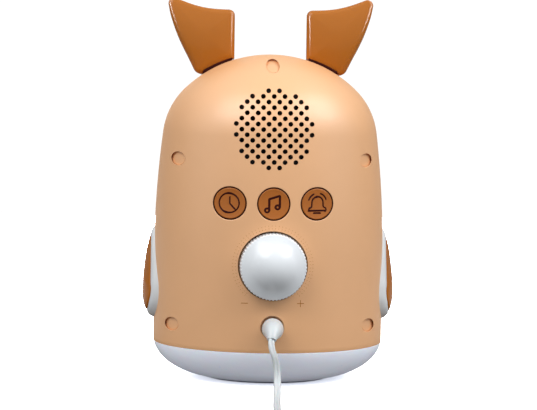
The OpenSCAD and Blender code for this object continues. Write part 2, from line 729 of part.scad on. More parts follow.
module main_board_screws() color("silver") for (p = main_board_holes)
  translate([p[0], main_board_y + board_t, p[1]]) rotate([-90, 0, 0]) screw(2.2, 1.4, 0.97, 4.8);

// Two wires side by side, straight out of a connector and then along a route
wire_d = 1.2;
module wire_pair(connector, route, spread) {
  plug_in = [for (y = [gap/2, 3]) [connector[0], plug_in_y + y, connector[1]]];
  path = concat(plug_in, route);
  for (s = [-1, 1])
    sweep([for (p = path) p + [s*spread/2, 0, 0]], alike(path, wire_d), alike(path, wire_d), 6);
}

module wiring_harness() color("#C23B32") {
  wire_pair(connectors[0], [[6, 0, 98], [3, speaker_y - 14, 111.2]], 3);
  wire_pair(connectors[1], [[-10, 0, 84], [-10, board_y - 0.05, 84]], 3);
  wire_pair(connectors[2], [[-8, 0, 60], [0, pot_back_y - 0.05, 50]], 3);
  wire_pair(connectors[3], [[-1, -6, 34], [0, -1, 24], [0, 0, 13.6]], 2.4);
  wire_pair(connectors[4], [[8, 0, 36], [0, jack_back_y - 0.1, jack_z]], 3);
}

module display_window() color("#2A2024") union() {
  intersection() {
    skin(0.3, wall + 1.2);
    window_prism(window_w - 2*gap, window_h - 2*gap, 6.9);
  }
  intersection() {
    skin(wall + gap, wall + 1.2);
    window_prism(window_w + 4, window_h + 4, 8);
  }
}

module display_module() color("#1C1C20")
  block([-27, digits_y, window_z - 12], [54, main_board_y - digits_y, 24]);

// Seven-segment figures: which bars are lit, top, upper left, upper right, middle, and so on
seg_w = 1.6;
seg_l = 6.6;
lit = [[2, 5], [0, 2, 3, 4, 6], [0, 1, 2, 4, 5, 6], [0, 1, 2, 4, 5, 6]];
digit_x = [-19.5, -8, 6, 17.5];

module bar(place) {
  high = [1, 0.5, 0.5, 0, -0.5, -0.5, -1][place]*seg_l*1.15;
  across = [0, -1, 1, 0, -1, 1, 0][place]*seg_l*0.56;
  upright = across != 0;
  size = upright ? [seg_w, 0.2, seg_l] : [seg_l*0.82, 0.2, seg_w];
  block([across - size[0]/2, digits_y - 0.2, window_z + high - size[2]/2], size);
}

module display_digits() color("#FFF6E0") {
  for (k = [0:3]) translate([-digit_x[k], 0, 0]) mirror([1, 0, 0]) for (place = lit[k]) bar(place);
  for (dz = [-3, 3]) block([0.2, digits_y - 0.2, window_z + dz - 0.8], [1.6, 0.2, 1.6]);
}

touch_y = -26;          // between the face and the post of the crown's screw
touch_r = 11;
module touch_pad() color("#C9A227") intersection() {
  skin(wall + glue, wall + 0.4);
  rod_z(0, touch_y, 120, 170, touch_r, $fn = 48);
}

// ---- face

module eyes() color("#1E1614") for (s = [-1, 1]) {
  difference() {
    translate([s*eye_x, -44.6, eye_z]) scale([5, 4.6, 5.8]) sphere(r = 1, $fn = 48);
    body(-glue);
  }
  rod_y(s*eye_x, -46.6, -41.6, eye_z, 2, $fn = 24);
}

module muzzle() color("#F2F1EE") {
  difference() {
    translate([0, -45, muzzle_z]) scale([17, 14, 12]) sphere(r = 1, $fn = 64);
    body(-glue);
    nose_shape(0.05);
  }
  for (s = [-1, 1]) rod_y(s*9, -50, -44.5, muzzle_z, 1.8, $fn = 24);
}

// The nose reaches as far forward as the knob reaches back
nose_size = [6.4, 5.2, 4.4];
module nose_shape(extra) translate([0, nose_size[1] - knob_y - knob_h, muzzle_z + 5.4])
  scale(nose_size + extra*[1, 1, 1]) sphere(r = 1, $fn = 48);

module nose() color("#3A2219") nose_shape(0);

// ---- power socket, cord and plugs

module dc_jack() color("#26262A") {
  difference() {
    union() {
      rod_y(0, 36, jack_floor_y - gap, jack_z, jack_nose_r, $fn = hole_fn);
      block([-5.5, jack_back_y, jack_z - 5.5], [11, jack_floor_y - disc_t - gap - jack_back_y, 11]);
    }
    rod_y(0, 36, 60, jack_z, 2.8, $fn = hole_fn);
  }
  rod_y(0, 35.5, 46, jack_z, 0.65, $fn = 16);
}

plug_y = [jack_floor_y + 0.2, 58];

module dc_plug() color("#EEF3F5") difference() {
  union() {
    rod_y(0, plug_y[0], plug_y[1] - 1, jack_z, 5.2, $fn = 48);
    translate([0, plug_y[1] - 1, jack_z]) rotate([-90, 0, 0])
      cylinder(r1 = 5.2, r2 = 4.9, h = 1, $fn = 48);
    rod_y(0, 37.6, plug_y[0] + 1, jack_z, 2.75, $fn = hole_fn);
  }
  rod_y(0, 37, 46.8, jack_z, 0.75, $fn = 16);
}

relief_route = [[0, 58, 30.7], [0.1, 60.4, 30.5], [0.3, 62.6, 29.9], [0.6, 64.6, 29], [0.8, 66.2, 28],
  [1, 67.4, 27]];
relief_w = [9.8, 9.6, 8.8, 7.4, 6.2, 5.4];
relief_h = [9.8, 9.4, 8.6, 7, 5.4, 4.2];
fall = [0, 1, 1];        // way up for a stretch that turns from backwards to down

module strain_relief() color("#EEF3F5") sweep(relief_route, relief_w, relief_h, 12, fall);

lead_route = [[1, 67.4, 27], [1.2, 68.6, 25.3], [0.9, 69.7, 22.9], [0.1, 70.4, 20.4], [-0.8, 70.6, 17.8],
  [-1.3, 70.7, 14.9], [-1.6, 71.1, 12], [-1.7, 72.6, 8.4], [-1.6, 75, 5.3], [-1.5, 78.1, 2.9],
  [-1.3, 81.7, 1.4], [-1, 85.8, 0.9], [-0.6, 93, 0.9], [-0.2, 101, 0.9], [0.1, 110, 0.9],
  [0.3, 119, 0.9], [0.4, 128, 0.9], [0.4, 137, 0.9], [0.3, 146, 0.9], [0.2, 155, 1], [0.2, 164, 1.2],
  [0.2, 172, 1.4], [0.2, 180, 1.5]];

coil_c = [22, 188];      // middle of the coil
coil_r = 20;             // radius at the middle of its turns
coil_rows = 2;           // turns side by side
coil_layers = 4;         // turns on each other
coil_lift = 0.6;         // thickness of the tie under it
coil_w = coil_rows*cord_w + 0.2;
coil_h = coil_layers*(cord_t + 0.05);

tail_route = [[22, 208, 7], [30, 208.8, 6.6], [38, 208.2, 5.8], [45, 205.6, 4.9], [50.6, 201, 4.2],
  [53.6, 195, 3.8], [54, 189.6, 3.75]];

module cord_stretch(route, way_up)
  sweep(route, alike(route, cord_w), alike(route, cord_t), 8, way_up);

module power_cord() color("#EEF3F5") cord_stretch(lead_route, fall);
module cord_tail() color("#EEF3F5") cord_stretch(tail_route, [0, 0, 1]);

module cord_coil() color("#EEF3F5") translate([coil_c[0], coil_c[1], coil_lift])
  rotate_extrude($fn = 64) translate([coil_r - coil_w/2, 0]) square([coil_w, coil_h]);

module cord_tie() color("#D8DCE0") translate([coil_c[0] + coil_r, coil_c[1], 0]) difference() {
  block([-coil_w/2 - 1, -2.5, 0], [coil_w + 2, 5, coil_h + 2*coil_lift]);
  block([-coil_w/2 - 0.3, -4, coil_lift], [coil_w + 0.6, 8, coil_h]);
}

usb_x = 54;
usb_y = 182;             // back end of the moulding
usb_l = 20;
usb_shell_l = 12;
usb_z = 3.75;

module usb_plug_body() color("#EEF3F5") {
  translate([usb_x, usb_y, usb_z]) rotate([90, 0, 0]) linear_extrude(height = usb_l)
    polygon(rounded_box(15.4, 7.5, 1.8));
  sweep([[usb_x, usb_y + 7.6, usb_z], [usb_x, usb_y, usb_z]], [4.4, 8.6], [3, 5.6], 12);
  block([usb_x - 5.4, usb_y - usb_l - usb_shell_l + 0.6, usb_z - 1.7], [10.8, usb_shell_l, 1.6]);
}

module usb_plug_shell() color("silver") difference() {
  block([usb_x - 6, usb_y - usb_l - usb_shell_l, usb_z - 2.25], [12, usb_shell_l, 4.5]);
  block([usb_x - 5.7, usb_y - usb_l - usb_shell_l - 1, usb_z - 1.95], [11.4, usb_shell_l + 2, 3.9]);
}

front_shell();
rear_cover();
base_diffuser();
base_plate();
rubber_feet();
base_screws();
battery_door();
battery_door_screw();
coin_cell();
coin_cell_spring();
light_chassis();
led_board();
night_light_leds();
left_ear();
right_ear();
ear_screws();
left_paw_rim();
left_paw_pad();
right_paw_rim();
right_paw_pad();
cover_screws();
screw_plugs();
knob();
volume_pot();
volume_pot_shaft();
volume_pot_nut();
time_button();
melody_button();
alarm_button();
time_plunger();
melody_plunger();
alarm_plunger();
button_board();
button_switches();
button_board_screws();
speaker_frame();
speaker_cone();
speaker_magnet();
speaker_screws();
main_board();
main_board_parts();
main_board_screws();
wiring_harness();
display_window();
display_module();
display_digits();
eyes();
muzzle();
nose();
touch_pad();
dc_jack();
dc_plug();
strain_relief();
power_cord();
cord_coil();
cord_tail();
cord_tie();
usb_plug_body();
usb_plug_shell();
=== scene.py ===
# %% [markdown]
# # A bedside clock with a glowing base
#
# The clock is a hollow oval shell on a milky bowl, with two ears, two paws and its controls at the
# back. A CAD model of it is already packed: it says where every piece is, and how the knob and the
# buttons move. This lesson dresses that model. It loads the CAD pieces as a fixed frame, builds
# smoother skins over the ones that a buyer sees, and gives every piece a finish made of nodes.

# %% Load the frame
import json
import math
import bmesh
import bpy
import numpy as np
from mathutils import Matrix, Vector


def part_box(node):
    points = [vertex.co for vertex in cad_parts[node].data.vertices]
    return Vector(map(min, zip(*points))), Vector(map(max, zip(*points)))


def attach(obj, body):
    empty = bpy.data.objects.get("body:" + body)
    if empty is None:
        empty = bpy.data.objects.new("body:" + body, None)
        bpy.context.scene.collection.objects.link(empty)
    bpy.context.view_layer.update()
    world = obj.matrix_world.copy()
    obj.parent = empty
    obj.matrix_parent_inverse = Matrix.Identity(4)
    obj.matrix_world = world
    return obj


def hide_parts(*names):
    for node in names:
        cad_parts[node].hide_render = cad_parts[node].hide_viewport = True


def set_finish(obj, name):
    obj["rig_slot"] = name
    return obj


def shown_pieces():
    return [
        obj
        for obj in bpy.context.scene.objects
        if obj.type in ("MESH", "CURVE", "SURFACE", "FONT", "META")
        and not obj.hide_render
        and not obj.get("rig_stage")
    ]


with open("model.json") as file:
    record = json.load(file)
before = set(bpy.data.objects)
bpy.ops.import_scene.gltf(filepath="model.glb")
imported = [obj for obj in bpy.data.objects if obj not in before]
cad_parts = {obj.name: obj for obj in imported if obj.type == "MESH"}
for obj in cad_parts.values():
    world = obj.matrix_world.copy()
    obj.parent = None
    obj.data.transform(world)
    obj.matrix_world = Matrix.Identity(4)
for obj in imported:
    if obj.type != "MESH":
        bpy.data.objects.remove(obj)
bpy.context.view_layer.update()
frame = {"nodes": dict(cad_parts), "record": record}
nodes = frame["nodes"]
MM = 0.001

# %% [markdown]
# ## The camera
#
# A product picture is usually taken from far away with a long lens, so that the sides of the body
# stay almost parallel. The camera stands behind the clock, where its controls are, a little to
# its left and a little above it. Its angle is built from three turns: round the clock, down, and a
# very small roll.

# %% Camera
PICTURE_W = 537
FOCAL_PIXELS = 2813
SENSOR = 36
CAMERA_AT = Vector((67.7, 1400, 205.2)) * MM
LOOK_DOWN = math.radians(4.86)
LOOK_ASIDE = math.radians(2.76)
ROLL = math.radians(0.8)

scene = bpy.context.scene
camera = bpy.data.objects.new("camera", bpy.data.cameras.new("camera"))
scene.collection.objects.link(camera)
scene.camera = camera
camera.data.sensor_width = SENSOR
camera.data.lens = FOCAL_PIXELS / PICTURE_W * SENSOR
camera.data.clip_start, camera.data.clip_end = 0.05, 20
camera.location = CAMERA_AT
turn_round = Matrix.Rotation(math.pi - LOOK_ASIDE, 3, "Z")
turn_down = Matrix.Rotation(math.pi / 2 - LOOK_DOWN, 3, "X")
camera.rotation_euler = (turn_round @ turn_down @ Matrix.Rotation(ROLL, 3, "Z")).to_euler()
print("lens of", round(camera.data.lens), "mm at", round(CAMERA_AT.length, 2), "m")

# %% [markdown]
# ## Rings into solids
#
# Most moulded pieces can be drawn as a stack of rings: a knob is a stack of circles, a cable is a
# stack of small circles along a line, an ear is a stack of ever smaller outlines. One helper turns
# any such stack into a closed mesh, so each piece below only has to say what its rings are. Points
# are in millimetres, as on a drawing, and the helper turns them into metres.

# %% Rings into a mesh
WELD = 2e-6


def add_mesh(name, points, faces):
    mesh = bpy.data.meshes.new(name)
    mesh.from_pydata((np.asarray(points, float) * MM).tolist(), [], faces)
    work = bmesh.new()
    work.from_mesh(mesh)
    bmesh.ops.remove_doubles(work, verts=work.verts, dist=WELD)
    bmesh.ops.recalc_face_normals(work, faces=work.faces)
    work.to_mesh(mesh)
    work.free()
    piece = bpy.data.objects.new(name, mesh)
    scene.collection.objects.link(piece)
    return piece


def stack(name, rings):
    """A closed skin through rings that have equally many points"""
    rings = np.asarray(rings, float)
    count, around = rings.shape[:2]
    faces = [
        (i * around + k, i * around + (k + 1) % around,
         (i + 1) * around + (k + 1) % around, (i + 1) * around + k)
        for i in range(count - 1) for k in range(around)
    ]
    faces.append(tuple(reversed(range(around))))
    faces.append(tuple(range((count - 1) * around, count * around)))
    return add_mesh(name, rings.reshape(-1, 3), faces)


def band(name, rings):
    """A closed skin through rings, of which the last meets the first"""
    rings = np.asarray(rings, float)
    count, around = rings.shape[:2]
    faces = [
        (i * around + k, i * around + (k + 1) % around,
         (i + 1) % count * around + (k + 1) % around, (i + 1) % count * around + k)
        for i in range(count) for k in range(around)
    ]
    return add_mesh(name, rings.reshape(-1, 3), faces)


def join(name, pieces):
    work = bmesh.new()
    for piece in pieces:
        work.from_mesh(piece.data)
        bpy.data.objects.remove(piece)
    mesh = bpy.data.meshes.new(name)
    work.to_mesh(mesh)
    work.free()
    whole = bpy.data.objects.new(name, mesh)
    scene.collection.objects.link(whole)
    return whole


def smooth(piece, sharp_over=35):
    piece.data.shade_smooth()
    piece.data.set_sharp_from_angle(angle=math.radians(sharp_over))
    return piece


def place(piece, body, slot, *stands_for):
    """Rides on a body, takes a finish slot and stands for CAD nodes"""
    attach(piece, body)
    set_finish(piece, slot)
    if stands_for:
        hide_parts(*stands_for)
    print(f"{piece.name}: {len(piece.data.polygons)} faces on {body}")
    return piece


# %% [markdown]
# ## The power lead
#
# The lead is a flat twin cord: two insulated strands side by side with a thin web between them. It
# leaves the plug's neck, falls to the table, runs back along it and is stored in a coil of two rows
# and four layers, with its USB plug beside it. It is made as one tube with a figure-of-eight
# section. The route up to the coil and after it is a short list of points, and the turns of the
# coil are worked out.

# %% Smooth routes
def through(points, steps):
    """A smooth curve through points, with this many steps between two of them"""
    points = np.asarray(points, float)
    ends = np.vstack([2 * points[0] - points[1], points, 2 * points[-1] - points[-2]])
    curve = []
    for a, b, c, d in zip(ends, ends[1:], ends[2:], ends[3:]):
        for t in np.arange(steps) / steps:
            curve.append(0.5 * (2 * b + (c - a) * t + (2 * a - 5 * b + 4 * c - d) * t ** 2
                                + (3 * b - a - 3 * c + d) * t ** 3))
    curve.append(points[-1])
    return np.array(curve)


def normalised(vectors):
    return vectors / np.linalg.norm(vectors, axis=-1, keepdims=True)


def swept(name, path, section, up, sizes=None, twist=0):
    """A tube: section is a closed outline, up says which way its second axis leans"""
    along = normalised(np.gradient(path, axis=0))
    across = normalised(np.cross(along, np.broadcast_to(up, path.shape)))
    above = np.cross(across, along)
    sizes = np.ones((len(path), 2)) if sizes is None else np.asarray(sizes, float)
    twist = np.broadcast_to(twist, len(path))[:, None]
    side = across * np.cos(twist) + above * np.sin(twist)
    top = above * np.cos(twist) - across * np.sin(twist)
    rings = [p + np.outer(section[:, 0] * w, s) + np.outer(section[:, 1] * h, t)
             for p, s, t, (w, h) in zip(path, side, top, sizes)]
    return stack(name, rings)


def circle(radius, count):
    turn = np.arange(count) * 2 * np.pi / count
    return radius * np.stack([np.cos(turn), np.sin(turn)], axis=1)


# %% Route of the lead
CORD_W, CORD_T = 3.6, 1.8
UP, FALL = (0, 0, 1), (0, 1, 1)
lead_route = [
    (1, 67.4, 27), (1.2, 68.6, 25.3), (0.9, 69.7, 22.9), (0.1, 70.4, 20.4), (-0.8, 70.6, 17.8),
    (-1.3, 70.7, 14.9), (-1.6, 71.1, 12), (-1.7, 72.6, 8.4), (-1.6, 75, 5.3), (-1.5, 78.1, 2.9),
    (-1.3, 81.7, 1.4), (-1, 85.8, 0.9), (-0.6, 93, 0.9), (-0.2, 101, 0.9), (0.1, 110, 0.9),
    (0.3, 119, 0.9), (0.4, 128, 0.9), (0.4, 137, 0.9), (0.3, 146, 0.9), (0.2, 155, 1),
    (0.2, 164, 1.2), (0.2, 172, 1.4), (0.2, 180, 1.5),
]
tail_route = [
    (30, 208.8, 6.6), (38, 208.2, 5.8), (45, 205.6, 4.9), (50.6, 201, 4.2),
    (53.6, 195, 3.8), (54, 189.6, 3.75),
]
COIL_AT = np.array([22, 188])
COIL_R, COIL_LIFT = 20, 0.6
LAYER = CORD_T + 0.05
ROW = CORD_W + 0.1
COIL_TURNS = 7.25
STEPS_A_TURN = 32
# the share of a turn at which the lead starts to cross to its next place, and how long it takes
CROSS_AT, CROSS_OVER = 0.8, 0.2
# row and layer of each turn, so that each lies beside or on the one before it
turn_rows = [1, 0, 0, 1, 1, 0, 0, 1]
turn_layers = [0, 0, 1, 1, 2, 2, 3, 3]


def coil_route():
    points = []
    for step in range(int(COIL_TURNS * STEPS_A_TURN) + 1):
        turn, share = divmod(step / STEPS_A_TURN, 1)
        turn = int(turn)
        after = min(turn + 1, len(turn_rows) - 1)
        ease = np.clip((share - CROSS_AT) / CROSS_OVER, 0, 1)
        ease = ease * ease * (3 - 2 * ease)
        row = turn_rows[turn] + (turn_rows[after] - turn_rows[turn]) * ease
        layer = turn_layers[turn] + (turn_layers[after] - turn_layers[turn]) * ease
        radius = COIL_R + (row - 0.5) * ROW
        angle = math.pi - 2 * math.pi * step / STEPS_A_TURN
        flat = COIL_AT + radius * np.array([math.cos(angle), math.sin(angle)])
        points.append((*flat, COIL_LIFT + CORD_T / 2 + layer * LAYER))
    return np.array(points)


lead = through(lead_route, 3)
lead_path = np.vstack([lead, coil_route()[1:], through(tail_route, 3)])

# %% The lead itself
STRAND_R = CORD_T / 2
WEB_ANGLE = math.radians(160)
TWIST_AT_NECK, UNTWIST_OVER = math.radians(42), 0.45
lobe = np.linspace(-WEB_ANGLE, WEB_ANGLE, 10)
twin = np.array(
    [(STRAND_R + STRAND_R * math.cos(a), STRAND_R * math.sin(a)) for a in lobe]
    + [(-STRAND_R - STRAND_R * math.cos(a), -STRAND_R * math.sin(a)) for a in lobe]
)
untwist = np.clip(1 - np.arange(len(lead_path)) / (UNTWIST_OVER * len(lead)), 0, 1)
ups = np.array([FALL] * len(lead) + [UP] * (len(lead_path) - len(lead)))
power_lead = swept("power_lead", lead_path, twin, ups, twist=TWIST_AT_NECK * untwist)
smooth(power_lead, 60)
print("the lead has", len(power_lead.data.polygons), "faces")

# %% [markdown]
# The barrel plug is a short moulding with a rounded face, a little narrower toward the socket. Its
# neck bends down at once, so that the lead hangs close behind the clock. The USB plug at the other
# end is a rounded block, and comes straight from CAD.

# %% Turned parts
def turned(name, x, z, outline, count=64):
    """A round part on an axis along Y: outline is a list of (y, radius)"""
    ring = circle(1, count)
    rings = [[(x + r * c, y, z + r * s) for c, s in ring] for y, r in outline]
    return stack(name, rings)


def round_edge(y, radius, bevel, steps=5):
    """Quarter circle from a wall of this radius to a flat face at y"""
    angles = np.linspace(0, math.pi / 2, steps + 1)
    return [(y - bevel + bevel * math.sin(a), radius - bevel + bevel * math.cos(a)) for a in angles]


# %% Plug and neck
JACK_Z = 30.7
PLUG_FACE, PLUG_BACK, PLUG_R, PLUG_WAIST = 58.2, 47.1, 5.2, 4.3
PLUG_TAPER_END, PLUG_ROUND = 2.8, 1.6
plug_outline = [(PLUG_BACK, 0), (PLUG_BACK, PLUG_WAIST), (PLUG_FACE - PLUG_TAPER_END, PLUG_R)]
plug_outline += round_edge(PLUG_FACE, PLUG_R, PLUG_ROUND) + [(PLUG_FACE, 0)]
plug = turned("plug_moulding", 0, JACK_Z, plug_outline)
relief_route = [
    (0, 57, 30.8), (0.1, 60.4, 30.5), (0.3, 62.6, 29.9), (0.6, 64.6, 29), (0.8, 66.2, 28),
    (1, 67.4, 27),
]
relief_w = [9.8, 9.6, 8.6, 6.9, 5.4, 4.5]
relief_h = [9.8, 9.4, 8.2, 6.2, 4.3, 2.9]
relief_path = through(relief_route, 5)
relief_sizes = through(np.array([relief_w, relief_h]).T, 5)
neck = swept("plug_neck", relief_path, circle(0.5, 32), FALL, sizes=relief_sizes)
for part, node in ((plug, "dc_plug"), (neck, "strain_relief")):
    place(smooth(part), "housing", "cord_white", node)

place(power_lead, "housing", "cord_white", "power_cord", "cord_coil", "cord_tail")

# %% [markdown]
# ## The body as a formula
#
# The shell is turned about an upright axis and then squeezed to an oval. Its half outline is a bowl,
# a straight side, and three arcs that blend one into the next. A mesh of it has flat facets, which
# a satin finish shows as bands. So the outline is kept as a formula: it places the points of the
# mesh, and it also gives the exact direction of the skin at each of them for shading.

# %% Outline of the body
low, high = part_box("rear_cover")
BODY_HW, BODY_H, SEAM_Z = high.x / MM, high.z / MM, low.z / MM
DEPTH_RATIO = (high.y / MM) / BODY_HW
WALL = 2.2
PART_Y = -1.5
SHOULDER_R, SIDE_R, SIDE_BEND_Z, SHOULDER_AT = 36, 500, 60, math.radians(7.2)
BOWL_RX, BOWL_RZ, FOOT_GAP = 33, 19.8, 0.4
side_c = np.array([BODY_HW - SIDE_R, SIDE_BEND_Z])
shoulder_c = side_c + (SIDE_R - SHOULDER_R) * np.array([math.cos(SHOULDER_AT), math.sin(SHOULDER_AT)])
crown_drop = shoulder_c[1] - BODY_H
CROWN_R = (SHOULDER_R ** 2 - shoulder_c[0] ** 2 - crown_drop ** 2) / (2 * (crown_drop + SHOULDER_R))
crown_c = np.array([0, BODY_H - CROWN_R])
CROWN_AT = math.atan2(shoulder_c[1] - crown_c[1], shoulder_c[0])


def outline(inset=0):
    """Rows of radius, height and outward direction, from the foot to the crown"""
    rows = []
    for a in np.linspace(-math.pi / 2, 0, 28):
        n = normalised(np.array([math.cos(a) * BOWL_RZ, math.sin(a) * BOWL_RX]))
        rows.append((BODY_HW - BOWL_RX + (BOWL_RX - inset) * math.cos(a),
                     FOOT_GAP + BOWL_RZ + (BOWL_RZ - inset) * math.sin(a), *n))
    for z in np.linspace(FOOT_GAP + BOWL_RZ, SIDE_BEND_Z, 8)[1:-1]:
        rows.append((BODY_HW - inset, z, 1, 0))
    arcs = ((side_c, SIDE_R, 0, SHOULDER_AT, 14), (shoulder_c, SHOULDER_R, SHOULDER_AT, CROWN_AT, 26),
            (crown_c, CROWN_R, CROWN_AT, math.pi / 2, 30))
    for centre, radius, start, end, steps in arcs:
        for a in np.linspace(start, end, steps + 1)[:-1]:
            rows.append((*(centre + (radius - inset) * np.array([math.cos(a), math.sin(a)])),
                         math.cos(a), math.sin(a)))
    rows.append((0, BODY_H - inset, 0, 1))
    return np.array(rows)


skin = outline()
skin_low = skin[skin[:, 1] <= SIDE_BEND_Z]
skin_top = skin[skin[:, 1] >= SIDE_BEND_Z]
top_turn = np.arctan2(skin_top[:, 1] - SIDE_BEND_Z, skin_top[:, 0])
top_reach = np.hypot(skin_top[:, 0], skin_top[:, 1] - SIDE_BEND_Z)


def on_skin(points):
    """How far points lie outside the body, and the skin's direction there"""
    x, y, z = points.T
    r = np.hypot(x, y / DEPTH_RATIO)
    turn = np.arctan2(z - SIDE_BEND_Z, r)
    upper = z > SIDE_BEND_Z
    gap = np.where(upper, np.hypot(r, z - SIDE_BEND_Z) - np.interp(turn, top_turn, top_reach),
                   r - np.interp(z, skin_low[:, 1], skin_low[:, 0]))
    nr, nz = (np.where(upper, np.interp(turn, top_turn, skin_top[:, k]),
                       np.interp(z, skin_low[:, 1], skin_low[:, k])) for k in (2, 3))
    r = np.maximum(r, 1e-6)
    return gap, normalised(np.stack([nr * x / r, nr * y / (DEPTH_RATIO ** 2 * r), nz], axis=1))


def back_y(x, z, inset=0):
    """Where the body's back is, at a place seen from behind"""
    rows = outline(inset)
    r = np.interp(z, rows[:, 1], rows[:, 0])
    return DEPTH_RATIO * np.sqrt(np.maximum(r * r - np.square(x), 0))


print("half width", round(BODY_HW, 1), "height", round(BODY_H, 1), "depth ratio", round(DEPTH_RATIO, 3))

# %% [markdown]
# ## Cutting the shells
#
# Real shells are moulded with their holes, cups and screw posts. Modelling each hole into the grid
# of a curved skin by hand is slow, so the shells are cut: a Boolean modifier takes a tool away from
# a blank, just as a milling cutter would. All round tools are joined into one object first, because
# one cut with many tools is much faster than many cuts.

# %% Boolean helpers
AROUND = 160


def oval(name, rows, around=AROUND):
    ring = circle(1, around)
    return stack(name, [[(r * c, DEPTH_RATIO * r * s, z) for c, s in ring] for r, z in rows])


def carve(blank, tool, how="DIFFERENCE"):
    cut = blank.modifiers.new("cut", "BOOLEAN")
    cut.operation, cut.solver, cut.object = how, "EXACT", tool
    graph = bpy.context.evaluated_depsgraph_get()
    blank.data = bpy.data.meshes.new_from_object(blank.evaluated_get(graph))
    blank.modifiers.clear()
    bpy.data.objects.remove(tool)
    return blank


def slab(name, lowest, highest):
    (x0, y0, z0), (x1, y1, z1) = lowest, highest
    return stack(name, [[(x0, y0, z), (x1, y0, z), (x1, y1, z), (x0, y1, z)] for z in (z0, z1)])


def rod(x, z, y0, y1, radius, count=32):
    return turned("rod", x, z, [(y0, radius), (y1, radius)], count)


def polish(piece, near=0.06, same_way=0.93):
    """Shades what lies on the body's skin by the formula, and the rest by its edges"""
    smooth(piece)
    mesh = piece.data
    points = np.zeros(len(mesh.vertices) * 3)
    mesh.vertices.foreach_get("co", points)
    gap, facing = on_skin(points.reshape(-1, 3) / MM)
    normals = np.zeros(len(mesh.loops) * 3)
    mesh.corner_normals.foreach_get("vector", normals)
    normals = normals.reshape(-1, 3)
    for face in mesh.polygons:
        corners = list(face.vertices)
        faces_out = np.dot(facing[corners].mean(0), face.normal) > same_way
        if faces_out and abs(gap[corners]).max() < near:
            normals[list(face.loop_indices)] = facing[corners]
    mesh.normals_split_custom_set(normals.tolist())
    return piece


def hole_edge(x, z, radius, size=0.35, count=96):
    """A closed ring that takes the sharp edge off a hole in the back of the body"""
    turn = np.linspace(0, 2 * np.pi, count, endpoint=False)
    profile = [(-0.3, 0.6), (size, 0.6), (size, 0.02), (0.45 * size, -0.16 * size),
               (0.16 * size, -0.45 * size), (-0.02, -size), (-0.3, -size)]
    rings = []
    for out, rise in profile:
        px, pz = x + (radius + out) * np.cos(turn), z + (radius + out) * np.sin(turn)
        rings.append(np.stack([px, back_y(px, pz) + rise, pz], axis=1))
    return band("edge", rings)


def shell_rows(outside=0, inside=WALL):
    """Half section of both shells: inside from the crown down, then outside up again"""
    inner, outer = outline(inside), outline(outside)
    seam_in = inner[inner[:, 1] > SEAM_Z][:, :2]
    seam_out = outer[outer[:, 1] > SEAM_Z][:, :2]
    at_in = (np.interp(SEAM_Z, inner[:, 1], inner[:, 0]), SEAM_Z)
    at_out = (np.interp(SEAM_Z, outer[:, 1], outer[:, 0]), SEAM_Z)
    return np.vstack([seam_in[::-1], [at_in, at_out], seam_out])


# %% [markdown]
# The rear cover carries everything that a user touches. Its posts and cups are added to the blank
# while they are still too long, trimmed by the outside of the body, and only then drilled.

# %% Places on the rear cover
KNOB_Z, KNOB_R = 60.6, 16.2
BUTTON_Z, BUTTON_R, BUTTON_PITCH = 90.6, 7.8, 21.1
BUTTON_HOLE_R, BUTTON_CUP_Y = BUTTON_R + 0.3, 37.5
GRILLE_Z, GRILLE_PITCH, GRILLE_HOLE_R = 126.4, 2.62, 1.2
GRILLE_ROWS, GRILLE_REACH = range(-7, 8), 55
PLUG_AT = [(48.3, 29.3), (-48.3, 29.3), (46, 110.7), (-46, 110.7), (0, 156.2)]
SCREW_PLUG_R, SCREW_POST_R, SCREW_HOLE_R, SCREW_FLOOR_Y = 3.25, 3.6, 1.7, 8
SCREW_BORE_R = SCREW_PLUG_R + 0.05
RECESS_Y, JACK_FLOOR_Y, FLOOR_T, CUP_WALL = 47.6, 46.9, 2.4, 1.8
RECESS_R, JACK_RECESS_R = 16.8, 5.6
SHAFT_HOLE_R, JACK_HOLE_R = 3.6, 4.2
GROOVE_IN_R, GROOVE_Y = 14, 46          # under the knob's edge, so that its gap stays dark
PRY_AT, PRY_END_Y = [(40, 144), (-40, 144)], 2.6
PRY_CORNERS = ((-1.1, -0.5), (1.1, -0.5), (1.1, 1), (-1.1, 1))      # along the edge, out of it
DRILL_Y, GRILLE_DRILL_Y, FAR = 30, 10, 90                           # where the cutting tools end
button_xs = {"time": BUTTON_PITCH, "melody": 0, "alarm": -BUTTON_PITCH}
print("buttons at", button_xs, "and", len(PLUG_AT), "screws")

# %% Rear cover
grille_holes = [(col * GRILLE_PITCH, GRILLE_Z + row * GRILLE_PITCH)
                for row in GRILLE_ROWS for col in GRILLE_ROWS
                if (row + col) % 2 == 0 and row * row + col * col <= GRILLE_REACH]


def rear_blank():
    blank = oval("rear_shell", shell_rows())
    posts = [rod(x, z, PART_Y, FAR, SCREW_POST_R) for x, z in PLUG_AT]
    posts += [rod(x, BUTTON_Z, BUTTON_CUP_Y, FAR, BUTTON_R + CUP_WALL, 64)
              for x in button_xs.values()]
    posts += [rod(0, KNOB_Z, RECESS_Y - FLOOR_T, FAR, RECESS_R + CUP_WALL, 96),
              rod(0, JACK_Z, JACK_FLOOR_Y - FLOOR_T, FAR, JACK_RECESS_R + CUP_WALL, 64)]
    posts = carve(join("posts", posts), oval("inside", outline(0.6)[:, :2]), "INTERSECT")
    return carve(blank, posts, "UNION")


